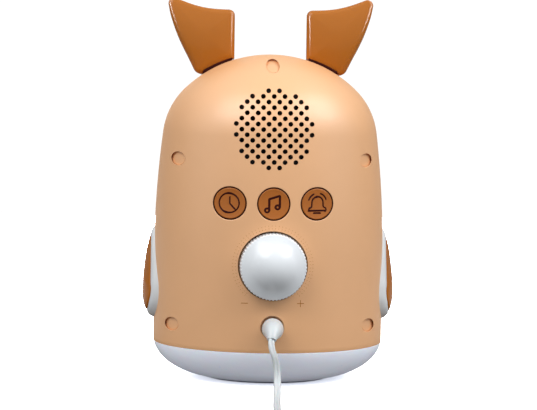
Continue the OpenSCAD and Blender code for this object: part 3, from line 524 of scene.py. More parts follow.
def rear_tools():
    tools = [rod(x, z, GRILLE_DRILL_Y, FAR, GRILLE_HOLE_R, 20) for x, z in grille_holes]
    screw = [(PART_Y - 1, SCREW_HOLE_R), (SCREW_FLOOR_Y, SCREW_HOLE_R),
             (SCREW_FLOOR_Y, SCREW_BORE_R), (FAR, SCREW_BORE_R)]
    tools += [turned("tool", x, z, screw, 48) for x, z in PLUG_AT]
    tools += [rod(x, BUTTON_Z, DRILL_Y, FAR, BUTTON_HOLE_R, 96) for x in button_xs.values()]
    shaft = [(DRILL_Y, SHAFT_HOLE_R), (RECESS_Y, SHAFT_HOLE_R), (RECESS_Y, GROOVE_IN_R),
             (GROOVE_Y, GROOVE_IN_R), (GROOVE_Y, RECESS_R), (FAR, RECESS_R)]
    jack = [(DRILL_Y, JACK_HOLE_R), (JACK_FLOOR_Y, JACK_HOLE_R), (JACK_FLOOR_Y, JACK_RECESS_R),
            (FAR, JACK_RECESS_R)]
    tools += [turned("tool", 0, KNOB_Z, shaft, 128), turned("tool", 0, JACK_Z, jack, 96)]
    return join("tools", tools)


def edge_tools():
    edges = [hole_edge(x, BUTTON_Z, BUTTON_HOLE_R) for x in button_xs.values()]
    edges += [hole_edge(x, z, SCREW_BORE_R, size=0.25, count=48) for x, z in PLUG_AT[:4]]
    edges += [hole_edge(0, KNOB_Z, RECESS_R, size=0.45, count=128),
              hole_edge(0, JACK_Z, JACK_RECESS_R, size=0.45)]
    edges += [pry_slot(x, z) for x, z in PRY_AT]
    return join("edges", edges)


def pry_slot(x, z):
    """A notch at the parting line, where a blade goes in to open the shells"""
    turn = np.interp(z, skin_top[:, 1], np.arctan2(skin_top[:, 3], skin_top[:, 2]))
    reach = np.interp(z, skin_top[:, 1], skin_top[:, 0])
    out = np.array([math.copysign(math.cos(turn), x), math.sin(turn)])
    along = np.array([-out[1], out[0]])
    middle = np.array([math.copysign(reach, x), z])
    corners = [middle + along * a + out * o for a, o in PRY_CORNERS]
    return stack("slot", [[(cx, y, cz) for cx, cz in corners] for y in (PART_Y - 1, PRY_END_Y)])


rear = carve(rear_blank(), slab("front_half", (-FAR, -FAR, 0), (FAR, PART_Y + 0.1, 200)))
rear = polish(carve(carve(rear, rear_tools()), edge_tools()))
place(rear, "housing", "shell_peach", "rear_cover")
print(len(grille_holes), "grille holes")

# %% [markdown]
# The front shell is the other half. It has an opening for the display, and a lip that laps inside
# the rear cover, so that no light shows through the parting line.

# %% Front shell
WINDOW_Z, WINDOW_W, WINDOW_H, WINDOW_R = 62, 58, 28, 7


def rounded_box(w, h, r, steps=8):
    corners = ((w / 2 - r, h / 2 - r, 0), (r - w / 2, h / 2 - r, 1), (r - w / 2, r - h / 2, 2),
               (w / 2 - r, r - h / 2, 3))
    return np.array([(x + r * math.cos((q + t) * math.pi / 2), y + r * math.sin((q + t) * math.pi / 2))
                     for x, y, q in corners for t in np.linspace(0, 1, steps)])


def window_prism(w, h, r, y0=-FAR, y1=-20):
    box_outline = rounded_box(w, h, r)
    return stack("prism", [[(x, y, WINDOW_Z + z) for x, z in box_outline] for y in (y0, y1)])


front = oval("front_face_shell", shell_rows())
front = carve(front, slab("rear_half", (-FAR, PART_Y - 0.1, 0), (FAR, FAR, 200)))
front = carve(front, window_prism(WINDOW_W, WINDOW_H, WINDOW_R))
polish(front)
lip = oval("lip", shell_rows(1.1, WALL + 0.3))
lip = carve(lip, slab("lip_span", (-FAR, PART_Y - 2, 0), (FAR, PART_Y + 2, 200)), "INTERSECT")
front = join("front_face_shell", [front, smooth(lip)])
place(front, "housing", "shell_peach", "front_shell")

# %% [markdown]
# ## The night-light base
#
# The bowl is moulded in a milky plastic that hides the lamps inside. It is the same formula again,
# from the seam down to the oval cover plate.

# %% Base
PLATE_R = 30.1
SEAM_GAP = 0.2


def base_rows():
    outer, inner = outline(0), outline(WALL)
    rim_z = SEAM_Z - SEAM_GAP
    low_out = outer[(outer[:, 1] < rim_z - 0.3) & (outer[:, 0] > PLATE_R)][:, :2]
    low_in = inner[(inner[:, 1] < rim_z) & (inner[:, 0] > PLATE_R)][:, :2]
    rim_r = np.interp(rim_z, outer[:, 1], outer[:, 0])
    rim = [(rim_r - 0.03, rim_z - 0.2), (rim_r - 0.1, rim_z - 0.06), (rim_r - 0.25, rim_z),
           (rim_r - 1.1, rim_z), (rim_r - 1.1, rim_z + 2.5), (rim_r - WALL, rim_z + 2.5)]
    return np.vstack([low_out, rim, low_in[::-1], low_out[:1]])


base = polish(oval("glow_bowl", base_rows()))
place(base, "housing", "diffuser_milky", "base_diffuser")

# %% [markdown]
# ## Button caps and screw plugs
#
# A cap's face follows the body's skin a quarter of a millimetre below it, with a shallow dish for
# the fingertip and a rounded edge. A flange behind the cover keeps it in and closes the gap round it.
# The caps and the small plugs over the screws are the same shape at two sizes, so one function makes
# them: rings that shrink toward the middle, each lifted onto the skin.

# %% Caps
def cap(name, x, z, radius, inset, bevel, y_back, dish=0, flange=0, count=64):
    ring = circle(1, count)
    angles = np.linspace(0, math.pi / 2, 6)
    rows = [(radius - bevel + bevel * math.cos(a), bevel * (1 - math.sin(a))) for a in angles]
    rows += [(radius * share, dish * (1 - share * share)) for share in np.linspace(0.9, 0, 10)]
    foot = [(y_back - 1.8, radius + flange), (y_back, radius + flange)] if flange else []
    rings = [[(x + r * c, y, z + r * s) for c, s in ring] for y, r in foot + [(y_back, radius)]]
    for r, drop in rows:
        px, pz = x + r * ring[:, 0], z + r * ring[:, 1]
        rings.append(np.stack([px, back_y(px, pz, inset) - drop, pz], axis=1))
    return smooth(stack(name, rings), 50)


CAP_INSET, CAP_R, CAP_DISH = 0.25, 7.5, 0.5
for kind, x in button_xs.items():
    button = cap(f"{kind}_cap", x, BUTTON_Z, CAP_R, CAP_INSET, bevel=0.4, y_back=37.4,
                 dish=CAP_DISH, flange=1.5)
    place(button, f"{kind}_button", "button_brown", f"{kind}_button")

plugs = [cap("plug", x, z, SCREW_PLUG_R, inset=1.2, bevel=0.3, y_back=11, count=40)
         for x, z in PLUG_AT]
place(smooth(join("cover_plugs", plugs), 50), "housing", "shell_peach", "screw_plugs")

# %% [markdown]
# Between a cap and the cover is a thin dark gap. A real one is dark because little light comes out of
# it again. Here a thin dark sleeve lines the wall of the hole: it is painted shade, so that the gap
# stays dark in any light. The knob's recess has one too.

# %% Sleeves in the gaps
def sleeve(x, z, radius, y_back, below, thick=0.15, count=96):
    ring = circle(1, count)
    rows = []
    for r, at_top in ((radius, False), (radius, True), (radius - thick, True), (radius - thick, False)):
        px, pz = x + r * ring[:, 0], z + r * ring[:, 1]
        y = back_y(px, pz, below) if at_top else np.full(count, y_back)
        rows.append(np.stack([px, y, pz], axis=1))
    return band("sleeve", rows)


# painted shade: dark sleeves in the gaps round the buttons and the knob
sleeves = [sleeve(x, BUTTON_Z, BUTTON_R + 0.27, y_back=38.2, below=0.32, thick=0.42)
           for x in button_xs.values()]
sleeves.append(sleeve(0, KNOB_Z, RECESS_R - 0.03, y_back=GROOVE_Y + 0.05, below=0.42))
place(smooth(join("gap_shade_sleeves", sleeves)), "housing", "nose_brown")

# %% [markdown]
# ## Printed icons
#
# Each cap has a pad-printed symbol: a clock face, two notes and a bell. A print could be painted by
# the shader, but thin raised ink stays sharp at any picture size and in an exported model. Each
# stroke is a flat ribbon along a few points, laid on the cap. Points are in millimetres from the
# middle of the cap, to the right and up as a user sees them from behind.

# %% Strokes
INK_W, INK_H = 1.15, 0.05
ROUND_END = np.radians([80, 50, 20])


def bow(cx, cy, r, start, end, steps=24):
    angles = np.radians(np.linspace(start, end, steps + 1))
    return [(cx + r * math.cos(a), cy + r * math.sin(a)) for a in angles]


def stroke(x, z, points, width=INK_W, inset=CAP_INSET, dish=CAP_DISH, spacing=0.35):
    """A ribbon with round ends on the back of the body, or in the dish of a cap"""
    points = np.asarray(points, float)
    reach = np.concatenate([[0], np.cumsum(np.linalg.norm(np.diff(points, axis=0), axis=1))])
    places = np.linspace(0, reach[-1], max(2, int(reach[-1] / spacing) + 1))
    flat = np.stack([np.interp(places, reach, points[:, k]) for k in (0, 1)], axis=1)
    ends = normalised(np.array([flat[0] - flat[1], flat[-1] - flat[-2]])) * width / 2
    fade, steps = np.cos(ROUND_END), np.sin(ROUND_END)
    flat = np.vstack([flat[0] + np.outer(steps, ends[0]), flat,
                      flat[-1] + np.outer(steps[::-1], ends[1])])
    widths = np.concatenate([fade, np.ones(len(places)), fade[::-1]])
    px, pz = x - flat[:, 0], z + flat[:, 1]
    drop = dish * (1 - (flat ** 2).sum(axis=1) / CAP_R ** 2)
    path = np.stack([px, back_y(px, pz, inset) - drop, pz], axis=1)
    return swept("stroke", path, circle(0.5, 8) * (width, 2 * INK_H), (0, 1, 0),
                 sizes=np.stack([widths, np.ones(len(widths))], axis=1))


bell_side = [(-4.05, -3.35), (-4.3, -2.8), (-4.1, -2.1), (-3.3, -1.75), (-2.85, -1.2), (-2.75, 0.75)]
icons = {
    "time": [bow(-0.1, 0.1, 4.75, 0, 360, 60), [(0.2, 2.9), (0.2, -0.1), (2.4, -2.5)]],
    "melody": [[(-2.2, -3.1), (-2.2, 2.35), (2.95, 4.05), (2.95, -1.5)],
               bow(-3.2, -3.15, 1.0, 0, 360), bow(1.85, -1.6, 1.0, 0, 360)],
    "alarm": [bell_side + bow(0, 0.75, 2.75, 180, 0) + [(-x, y) for x, y in bell_side[::-1]],
              [(-4.05, -3.35), (4.05, -3.35)], [(-1.45, -4.5), (1.45, -4.5)],
              bow(0, 0.75, 4.45, 160, 115, 10), bow(0, 0.75, 4.45, 65, 20, 10)],
}
for kind, strokes in icons.items():
    ink = join(f"{kind}_icon", [stroke(button_xs[kind], BUTTON_Z, s) for s in strokes])
    place(smooth(ink), f"{kind}_button", "nose_brown")

# %% [markdown]
# Round the knob the cover carries a minus, a plus and a fine scale. They are the same ribbons, only
# much thinner, on the skin itself.

# %% Level marks
MARK_X, MARK_Z, MARK_ARM, MARK_LINE = 13.6, 42.4, 1.55, 0.32
SCALE_RINGS, DASH, DASH_LINE = (18.2, 19.5), 0.22, 0.13
SCALE_ANGLES = np.radians(np.arange(-48, 229, 5))
flat_arm, tall_arm = [(-MARK_ARM, 0), (MARK_ARM, 0)], [(0, -MARK_ARM), (0, MARK_ARM)]
arms = [(MARK_X, flat_arm), (-MARK_X, flat_arm), (-MARK_X, tall_arm)]
marks = [stroke(x, MARK_Z, arm, MARK_LINE, inset=0, dish=0) for x, arm in arms]
for angle in SCALE_ANGLES:
    for reach in SCALE_RINGS:
        dash = [(r * math.cos(angle), r * math.sin(angle)) for r in (reach - DASH, reach + DASH)]
        marks.append(stroke(0, KNOB_Z, dash, DASH_LINE, inset=0, dish=0))
place(smooth(join("level_marks", marks)), "housing", "ear_brown")

# %% [markdown]
# ## The knob
#
# The volume knob is a white dome that runs out into a sloping brim. Its half outline is the arc of
# the dome, then a line that grows ever less steep, and a rounded edge. Very fine flutes round the
# edge give a grip. They are made in the rings themselves: each ring's radius dips a little at every
# flute.

# %% Knob
knob_low, knob_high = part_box("knob")
KNOB_BACK, KNOB_TIP = knob_low.y / MM, knob_high.y / MM
FLUTES, FLUTE_DEPTH = 60, 0.35
DOME_R, DOME_SLOPE, BRIM_SLOPE = 15.5, math.radians(40), math.radians(24)
BRIM_STEPS = 12
KNOB_CORNER, EDGE_DROP, EDGE_LEAN = 15.2, 0.9, 0.1


def knob_profile():
    """Radius, depth below the tip and share of the flutes, from the back to the tip"""
    rows = [(DOME_R * math.sin(a), DOME_R * (1 - math.cos(a)), 0)
            for a in np.linspace(0, DOME_SLOPE, 20)]
    r, drop = rows[-1][:2]
    step = (KNOB_CORNER - r) / BRIM_STEPS
    for ease in np.linspace(1, 0, BRIM_STEPS) ** 2:
        slope = BRIM_SLOPE + (DOME_SLOPE - BRIM_SLOPE) * ease
        r, drop = r + step, drop + step * math.tan(slope)
        rows.append((r, drop, 0))
    for a in np.linspace(0, math.pi / 2, 8)[1:]:
        rows.append((KNOB_CORNER + (KNOB_R - KNOB_CORNER) * math.sin(a),
                     drop + EDGE_LEAN * math.sin(a) + EDGE_DROP * (1 - math.cos(a)), min(1, a)))
    return rows[::-1]


def knob_rings(around=FLUTES * 8):
    turn = np.arange(around) * 2 * np.pi / around
    dip = 0.5 - 0.5 * np.cos(turn * FLUTES)
    rows = [(0, KNOB_BACK, 0), (KNOB_R - 0.6, KNOB_BACK, 1), (KNOB_R - 0.1, KNOB_BACK + 0.3, 1),
            (KNOB_R, KNOB_BACK + 0.6, 1)]
    rows += [(r, KNOB_TIP - drop, depth) for r, drop, depth in knob_profile()]
    for r, y, depth in rows:
        reach = np.maximum(r - FLUTE_DEPTH * dip * depth, 0)
        yield np.stack([reach * np.cos(turn), np.full(around, y), KNOB_Z + reach * np.sin(turn)], axis=1)


knob = smooth(stack("volume_knob", list(knob_rings())), 50)
place(knob, "knob", "knob_white", "knob")

# %% [markdown]
# ## Ears
#
# Each ear is a thick plastic leaf with well-rounded edges and slightly crowned faces. It is a stack
# of one outline at several depths: full size in the middle of its thickness, and drawn in toward both
# faces along a quarter circle. Where the outline would go down into the body it follows the body's
# dome instead, a little above it. A dark strip in the gap under the ear is painted shade: it stands
# for the contact shadow along the ear's foot. A fold hangs down in front of the ear.

# %% Ear outline
EAR_Y, EAR_T = -7.5, 10
EAR_ROUND, EAR_CROWN, EAR_LIFT = 2.7, 0.7, 0.7
# each face draws in by the sag at this distance above and below the middle of the ear
EAR_MIDDLE, EAR_SAG, EAR_SAG_AT = 166, 2.6, 18
TIP, TIP_R, TOP, TOP_R, LOW, LOW_R = (48.3, 185.9), 2.9, (21, 180.2), 3, (34.2, 155.4), 4.6
outer_edge = [(41.4, 159.6), (43.9, 164.4), (46.4, 169.8), (48.6, 175.6), (50.2, 180.8)]


def arc(centre, radius, start, end, steps):
    angles = np.radians(np.linspace(start, end, steps + 1))
    return [(centre[0] + radius * math.cos(a), centre[1] + radius * math.sin(a)) for a in angles]


def drawn_in(points, inset):
    """A line moved sideways, toward its left as it goes"""
    along = normalised(np.gradient(np.asarray(points, float), axis=0))
    return points + inset * np.stack([-along[:, 1], along[:, 0]], axis=1)


def ear_outline(inset):
    share = np.arange(1, 16) / 16
    top = np.stack([47.8 - 26.8 * share, 188.75 - 5.55 * share - 1.6 * np.sin(np.pi * share)], axis=1)
    low_end, tip_start = arc(LOW, LOW_R, -20, -20, 0), arc(TIP, TIP_R, -20, -20, 0)
    edge = through(low_end + outer_edge + tip_start, 3)
    inner = [(TOP[0] - TOP_R + inset, z) for z in np.linspace(178, 146, 14)]
    foot = [(x, 144) for x in np.linspace(TOP[0] - TOP_R + inset + 0.8, LOW[0], 16)]
    return np.vstack([arc(TIP, TIP_R - inset, -20, 100, 10), drawn_in(top, inset),
                      arc(TOP, TOP_R - inset, 90, 180, 8), inner, foot,
                      arc(LOW, LOW_R - inset, -75, -20, 6), drawn_in(edge, inset)[1:-1]])


def dome_z(x, y, clearance):
    """Height of the top of the body at a place, and so much above it"""
    rows = outline(-clearance)
    rows = rows[rows[:, 1] > SIDE_BEND_Z][::-1]
    return np.interp(np.hypot(x, y / DEPTH_RATIO), rows[:, 0], rows[:, 1])


def ear_ring(inset, offset, lift):
    x, z = ear_outline(inset).T
    y = np.full(len(x), EAR_Y + offset)
    return np.stack([x, y, np.maximum(z, dome_z(x, y, lift))], axis=1)


def ear_face(side):
    """Rings of one face, from the middle of the ear's thickness to the middle of the face"""
    rings = []
    for a in np.radians(np.linspace(0, 83, 8)):
        inset = EAR_ROUND * (1 - math.cos(a))
        offset = EAR_T / 2 - EAR_CROWN - EAR_ROUND + EAR_ROUND * math.sin(a)
        rings.append(ear_ring(inset, side * offset, EAR_LIFT + 0.35 * inset))
    rim = rings[-1]
    for share in (0.12, 0.3, 0.5, 0.7, 0.88, 1):
        ring = rim + (rim.mean(axis=0) - rim) * share
        ring[:, 1] = EAR_Y + side * (EAR_T / 2 - EAR_CROWN * (1 - share) ** 2)
        rings.append(ring)
    for ring in rings:
        middle = (ring[:, 1] - EAR_Y) / (EAR_T / 2)
        ring[:, 1] -= middle * EAR_SAG * ((ring[:, 2] - EAR_MIDDLE) / EAR_SAG_AT) ** 2
    return rings


# %% Ears
FOLD_Z, FLAP_T, FLAP_ROUND = 184, 5, 2.2
FLAP_LEAN = math.radians(17)
FLAP_GAP = 0.25


def flap_outline(inset):
    return (arc((48.1, 183.6), 2.4 - inset, -15, 95, 8) + arc((21.4, 178.2), 2.4 - inset, 90, 200, 8)
            + arc((36.8, 158), 3.4 - inset, 215, 350, 10))


def mirrored(piece):
    piece.data.transform(Matrix.Scale(-1, 4, (1, 0, 0)))
    piece.data.flip_normals()
    return piece


SIDES = (("left", lambda piece: piece), ("right", mirrored))


def flap():
    rings = []
    for side in (-1, 1):
        angles = np.radians(np.linspace(90, 0, 7))
        for a in (angles if side < 0 else angles[::-1]):
            inset = min(FLAP_ROUND * (1 - math.cos(a)), FLAP_ROUND - 0.02)
            offset = side * (FLAP_T / 2 - FLAP_ROUND + FLAP_ROUND * math.sin(a))
            rings.append([(x, offset, z) for x, z in flap_outline(inset)])
    fold = stack("flap", rings)
    hinge = Vector((0, EAR_Y - EAR_T / 2 + 1.5 - FLAP_T / 2, FOLD_Z)) * MM
    fold.data.transform(Matrix.Translation(hinge) @ Matrix.Rotation(-FLAP_LEAN, 4, "X")
                        @ Matrix.Translation((0, 0, -FOLD_Z * MM)))
    return carve(fold, oval("dome", outline(-FLAP_GAP)[:, :2]))


def ear(name):
    leaf = stack(name, ear_face(-1)[::-1] + ear_face(1))
    return join(name, [smooth(leaf, 50), smooth(flap(), 40)])


def ear_shade_strip(name):
    """A dark strip in the gap between an ear and the dome, painted shade for the contact shadow there"""
    x = np.linspace(19.2, 33.6, 14)
    rings = []
    for y in EAR_Y + np.array([-3.9, -3.6, 0, 3.6, 3.9]):
        trim = 0.3 if abs(y - EAR_Y) > 3.7 else 0
        low = np.stack([x, np.full(14, y), dome_z(x, y, -0.3)], axis=1)
        high = np.stack([x, np.full(14, y), dome_z(x, y, EAR_LIFT + 0.8 - trim)], axis=1)
        rings.append(np.vstack([low, high[::-1]]))
    return smooth(stack(name, rings))


for side, turn in SIDES:
    place(turn(ear(f"{side}_ear_skin")), "housing", "ear_brown", f"{side}_ear")
    # the dark strip under each ear is painted shade
    place(turn(ear_shade_strip(f"{side}_ear_shade_strip")), "housing", "nose_brown")

# %% [markdown]
# ## Paws
#
# A paw is a white rim round a brown pad, both on the same bulge: two half ellipsoids that meet at its
# widest place, a tall one above and a short one below. Their plan is an egg, narrow at the top.
# Drawing the egg in by a few millimetres gives the rim's inner edge and the pad, so both are rows of
# eggs lifted onto the bulge, with a quarter of a circle or of an ellipse at each edge.

# %% Paws
PAW_LO, PAW_HI, PAW_R_LO, PAW_R_HI = 44.2, 71.2, 15.4, 5.3
PAW_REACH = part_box("left_paw_pad")[1].x / MM
BULGE_X, BULGE_Y, BULGE_Z = 19.5, 19, 41.6
BULGE_UP, BULGE_DOWN = 50, 20
RIM_W, RIM_EDGE, PAD_GAP, PAD_EDGE = 4.2, 0.9, 0.12, 0.7
RIM_ROUND = (2.9, 4.3)
PAD_MIDDLE = np.array([0, 53])


def egg(inset):
    lean = math.degrees(math.asin((PAW_R_LO - PAW_R_HI) / (PAW_HI - PAW_LO)))
    r_lo, r_hi = PAW_R_LO - inset, PAW_R_HI - inset
    return np.array(arc((0, PAW_LO), r_lo, -180 - lean, lean, 40)[:-1]
                    + arc((0, PAW_HI), r_hi, lean, 180 - lean, 24)[:-1])


def bulge_x(plan):
    rise = plan[:, 1] - BULGE_Z
    inside = 1 - (plan[:, 0] / BULGE_Y) ** 2 - (rise / np.where(rise > 0, BULGE_UP, BULGE_DOWN)) ** 2
    return PAW_REACH - BULGE_X + BULGE_X * np.sqrt(np.maximum(inside, 0))


def body_x(plan):
    r = np.interp(plan[:, 1], skin_low[:, 1], skin_low[:, 0])
    r = np.where(plan[:, 1] > SIDE_BEND_Z, np.interp(plan[:, 1], skin_top[:, 1], skin_top[:, 0]), r)
    return np.sqrt(r * r - (plan[:, 0] / DEPTH_RATIO) ** 2)


def lifted(plan, drop):
    x = np.maximum(bulge_x(plan) - drop, body_x(plan) - 0.5)
    return np.stack([x, plan[:, 0], plan[:, 1]], axis=1)


def sunk(plan):
    return np.stack([body_x(plan) - 0.8, plan[:, 0], plan[:, 1]], axis=1)


def edge_rows(start, towards, radius, steps=6):
    """Insets and drops of a rounded edge that starts at an inset and goes in or out"""
    angles = np.linspace(0, math.pi / 2, steps + 1)
    return [(start + towards * radius * (1 - math.cos(a)), radius * (1 - math.sin(a))) for a in angles]


def paw_rim(name):
    rows = [(RIM_ROUND[0] * i, RIM_ROUND[1] * d) for i, d in edge_rows(0, 1, 1, 12)]
    rows += edge_rows(RIM_W, -1, RIM_EDGE)[::-1]
    rings = [sunk(egg(0))] + [lifted(egg(i), d) for i, d in rows] + [sunk(egg(RIM_W))]
    return smooth(band(name, rings), 45)


def paw_pad(name):
    start = RIM_W + PAD_GAP
    rows = edge_rows(start, 1, PAD_EDGE)
    rings = [sunk(egg(start))] + [lifted(egg(i), d) for i, d in rows]
    rim = egg(start + PAD_EDGE)
    spine = np.stack([np.zeros(len(rim)), np.clip(rim[:, 1], PAW_LO, PAW_HI)], axis=1)
    for share in np.linspace(0, 1, 12)[1:]:
        toward = spine + (PAD_MIDDLE - spine) * share
        rings.append(lifted(rim + (toward - rim) * share, 0))
    return smooth(stack(name, rings), 45)


for side, turn in SIDES:
    place(turn(paw_rim(f"{side}_paw_band")), "housing", "paw_white", f"{side}_paw_rim")
    place(turn(paw_pad(f"{side}_paw_cushion")), "housing", "ear_brown", f"{side}_paw_pad")

# %% [markdown]
# ## Finishes
#
# A material in Blender is a graph of nodes. Written as Python, a graph of sums and products is hard
# to read, so a small class wraps a socket and lets ordinary arithmetic add the Math nodes. All other
# nodes come from one method, which takes the kind of node, its settings and its inputs.

# %% A class for shader values
class Wire:
    """An output socket that can be used in arithmetic"""

    def __init__(self, finish, socket):
        self.finish, self.socket = finish, socket

    def maths(self, operation, first, second):
        return self.finish.node("ShaderNodeMath", {"operation": operation}, {0: first, 1: second})

    def __add__(self, other):
        return self.maths("ADD", self, other)

    def __sub__(self, other):
        return self.maths("SUBTRACT", self, other)

    def __rsub__(self, other):
        return self.maths("SUBTRACT", other, self)

    def __mul__(self, other):
        return self.maths("MULTIPLY", self, other)

    __radd__ = __add__
    __rmul__ = __mul__


class Graph:
    """The nodes of a material or a world"""

    def __init__(self, owner, shader, **constants):
        owner.use_nodes = True
        self.tree = owner.node_tree
        self.shader = self.tree.nodes[shader]
        for socket, value in constants.items():
            self.shader.inputs[socket.replace("_", " ")].default_value = value

    def node(self, kind, settings, inputs, output=0):
        made = self.tree.nodes.new(kind)
        for name, value in settings.items():
            setattr(made, name, value)
        for socket, value in inputs.items():
            self.feed(made.inputs[socket], value)
        return Wire(self, made.outputs[output])

    def feed(self, socket, value):
        if isinstance(value, Wire):
            self.tree.links.new(value.socket, socket)
        else:
            socket.default_value = value

    def set(self, socket, value):
        self.feed(self.shader.inputs[socket], value)

    def ray_is(self, kind):
        """One for a ray of this kind, and nothing for any other"""
        return self.node("ShaderNodeLightPath", {}, {}, f"Is {kind} Ray")

    def soft_step(self, value, start, end, low=0.0, high=1.0):
        """Goes smoothly from low to high while the value goes from start to end"""
        return self.node("ShaderNodeMapRange", {"interpolation_type": "SMOOTHSTEP"},
                         {"Value": value, "From Min": start, "From Max": end,
                          "To Min": low, "To Max": high})


finishes = {}


class Finish(Graph):
    """A material with one Principled shader, kept under its name"""

    def __init__(self, name, **constants):
        finishes[name] = self
        self.material = bpy.data.materials.new(name)
        super().__init__(self.material, "Principled BSDF", **constants)
        self.place = self.node("ShaderNodeTexCoord", {}, {}, "Object")

    def noise(self, size_mm, detail=2):
        """Cloudy noise whose blobs are about this big"""
        scale = 1 / (size_mm * MM)
        return self.node("ShaderNodeTexNoise", {}, {"Vector": self.place, "Scale": scale,
                                                    "Detail": detail})

    def mix(self, share, first, second):
        return self.node("ShaderNodeMix", {"data_type": "RGBA"}, {0: share, 6: first, 7: second}, 2)

    def bump(self, height, depth_mm):
        normal = self.node("ShaderNodeBump", {}, {"Height": height, "Distance": depth_mm * MM})
        self.set("Normal", normal)


def tint(colour, factor):
    return tuple(min(1.0, c * factor) for c in colour[:3]) + (1,)


# %% [markdown]
# Moulded plastic is never quite one colour: it is a little cloudy, and its surface carries the fine
# grain of the mould. One function gives all the plastics here: a slow cloud in the colour, a finer
# one in the roughness, and a grain in the bump whose size and depth differ from part to part. Its
# numbers are the colour, the roughness, the size and depth of the grain in millimetres, the strength
# of the cloud and how far the roughness wanders. The milky base is given a faint glow, which is
# painted light that brightens its shaded bowl. The display's window is smoked and partly see-through,
# so that only the lit figures behind it show.

# %% Plastics
def plastic(name, colour, roughness, grain_mm=0.5, grain_depth=0.004, cloud=0.03, wander=0.12,
            **constants):
    finish = Finish(name, **constants)
    slow = finish.noise(14, 3)
    finish.set("Base Color", finish.mix(slow, tint(colour, 1 - cloud), tint(colour, 1 + cloud)))
    finish.set("Roughness", (finish.noise(3, 4) - 0.5) * wander + roughness)
    finish.bump(finish.noise(grain_mm, 3), grain_depth)
    return finish


plastic("shell_peach", (0.78, 0.425, 0.205), 0.40, 0.35, 0.005, Specular_IOR_Level=1.0)
plastic("ear_brown", (0.41, 0.122, 0.002), 0.20, 0.6, 0.003, Specular_IOR_Level=0.35)
plastic("button_brown", (0.41, 0.12, 0.012), 0.33, 0.4, 0.004, Specular_IOR_Level=0.4)
plastic("paw_white", (0.72, 0.75, 0.77), 0.28, 0.8, 0.002, wander=0.03)
plastic("knob_white", (0.82, 0.86, 0.90), 0.19, 2, 0.001, 0.01, 0.02)
# the emission is painted light: a faint glow that brightens the shaded bowl
plastic("diffuser_milky", (0.80, 0.84, 0.95), 0.30, 0.8, 0.002, 0.02,
        Emission_Color=(0.78, 0.82, 0.93, 1), Emission_Strength=0.2, Subsurface_Weight=0.3,
        Subsurface_Scale=0.004)
plastic("base_white", (0.45, 0.47, 0.55), 0.5, 0.5, 0.01)
plastic("rubber_grey", (0.12, 0.12, 0.13), 0.85, 0.3, 0.02)
plastic("board_white", (0.78, 0.78, 0.76), 0.45, 1.2, 0.004)
plastic("chip_black", (0.02, 0.02, 0.022), 0.5, 0.3, 0.008)
plastic("speaker_paper", (0.02, 0.02, 0.022), 0.9, 0.5, 0.05, 0.2)
plastic("speaker_steel", (0.06, 0.065, 0.07), 0.45, 1.0, 0.004, Metallic=0.4)
plastic("magnet_grey", (0.16, 0.165, 0.18), 0.7, 0.8, 0.03, 0.15)
plastic("wire_red", (0.5, 0.04, 0.03), 0.4, 0.6, 0.004)
plastic("eye_black", (0.004, 0.003, 0.003), 0.10, 2, 0.001, 0.1, 0.02, Specular_IOR_Level=0.35)
plastic("muzzle_white", (0.83, 0.81, 0.77), 0.34, 0.5, 0.004)
plastic("nose_brown", (0.028, 0.002, 0.0015), 0.5, 1, 0.002, 0.1, Specular_IOR_Level=0.1)
plastic("jack_black", (0.02, 0.02, 0.022), 0.4, 0.4, 0.006)
plastic("cord_white", (0.60, 0.64, 0.66), 0.32, 0.8, 0.003, 0.015,
        Subsurface_Weight=0.1, Subsurface_Scale=0.002)
plastic("window_smoke", (0.006, 0.005, 0.006), 0.10, 3, 0.001, 0.1, 0.02,
        Specular_IOR_Level=0.4, Alpha=0.55)
print(len(finishes), "plastics")

# %% [markdown]
# Metals and boards need something else. Plated steel has fine streaks in its roughness, a circuit
# board shows its tracks through the green mask, and the figures and lamps give light.

# %% Metals, boards and lamps
def metal(name, colour, roughness):
    finish = Finish(name, Metallic=1.0)
    stretched = finish.node("ShaderNodeMapping", {}, {"Vector": finish.place, "Scale": (1, 1, 14)})
    streaks = finish.node("ShaderNodeTexNoise", {}, {"Vector": stretched, "Scale": 700, "Detail": 3})
    finish.set("Base Color", finish.mix(streaks, tint(colour, 0.88), tint(colour, 1.08)))
    finish.set("Roughness", streaks * 0.22 + roughness)
    finish.bump(streaks, 0.003)


def circuit_board(name, mask, track):
    finish = Finish(name)
    cells = finish.node("ShaderNodeTexBrick", {}, {"Vector": finish.place, "Scale": 260,
                                                  "Mortar Size": 0.07, "Color1": (0, 0, 0, 1),
                                                  "Color2": (0, 0, 0, 1), "Mortar": (1, 1, 1, 1)}, 1)
    finish.set("Base Color", finish.mix(cells * 0.6, mask, track))
    finish.set("Roughness", finish.noise(2) * 0.2 + 0.3)
    finish.bump(cells, 0.03)


def lamp(name, colour, strength):
    finish = plastic(name, colour, 0.25, 1, 0.002)
    finish.set("Emission Color", finish.mix(finish.noise(3), tint(colour, 0.95), tint(colour, 1.05)))
    finish.set("Emission Strength", strength)


metal("steel", (0.62, 0.62, 0.64), 0.28)
metal("usb_steel", (0.66, 0.66, 0.68), 0.22)
metal("contact_brass", (0.80, 0.60, 0.25), 0.3)
metal("foil", (0.72, 0.46, 0.16), 0.35)
circuit_board("board_green", (0.02, 0.14, 0.05, 1), (0.05, 0.28, 0.10, 1))
lamp("digit_glow", (1.0, 0.88, 0.66), 1.5)
lamp("led_lens", (0.95, 0.80, 0.40), 0.2)

slot_of = {part["node"]: part["material_slot"] for part in frame["record"]["subparts"]}
for name, part in nodes.items():
    part.data.materials.clear()
    part.data.materials.append(finishes[slot_of[name]].material)
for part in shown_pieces():
    if "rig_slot" in part:
        part.data.materials.clear()
        part.data.materials.append(finishes[part["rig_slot"]].material)
print("finished", len(nodes), "CAD nodes and", sum("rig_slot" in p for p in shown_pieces()), "new pieces")
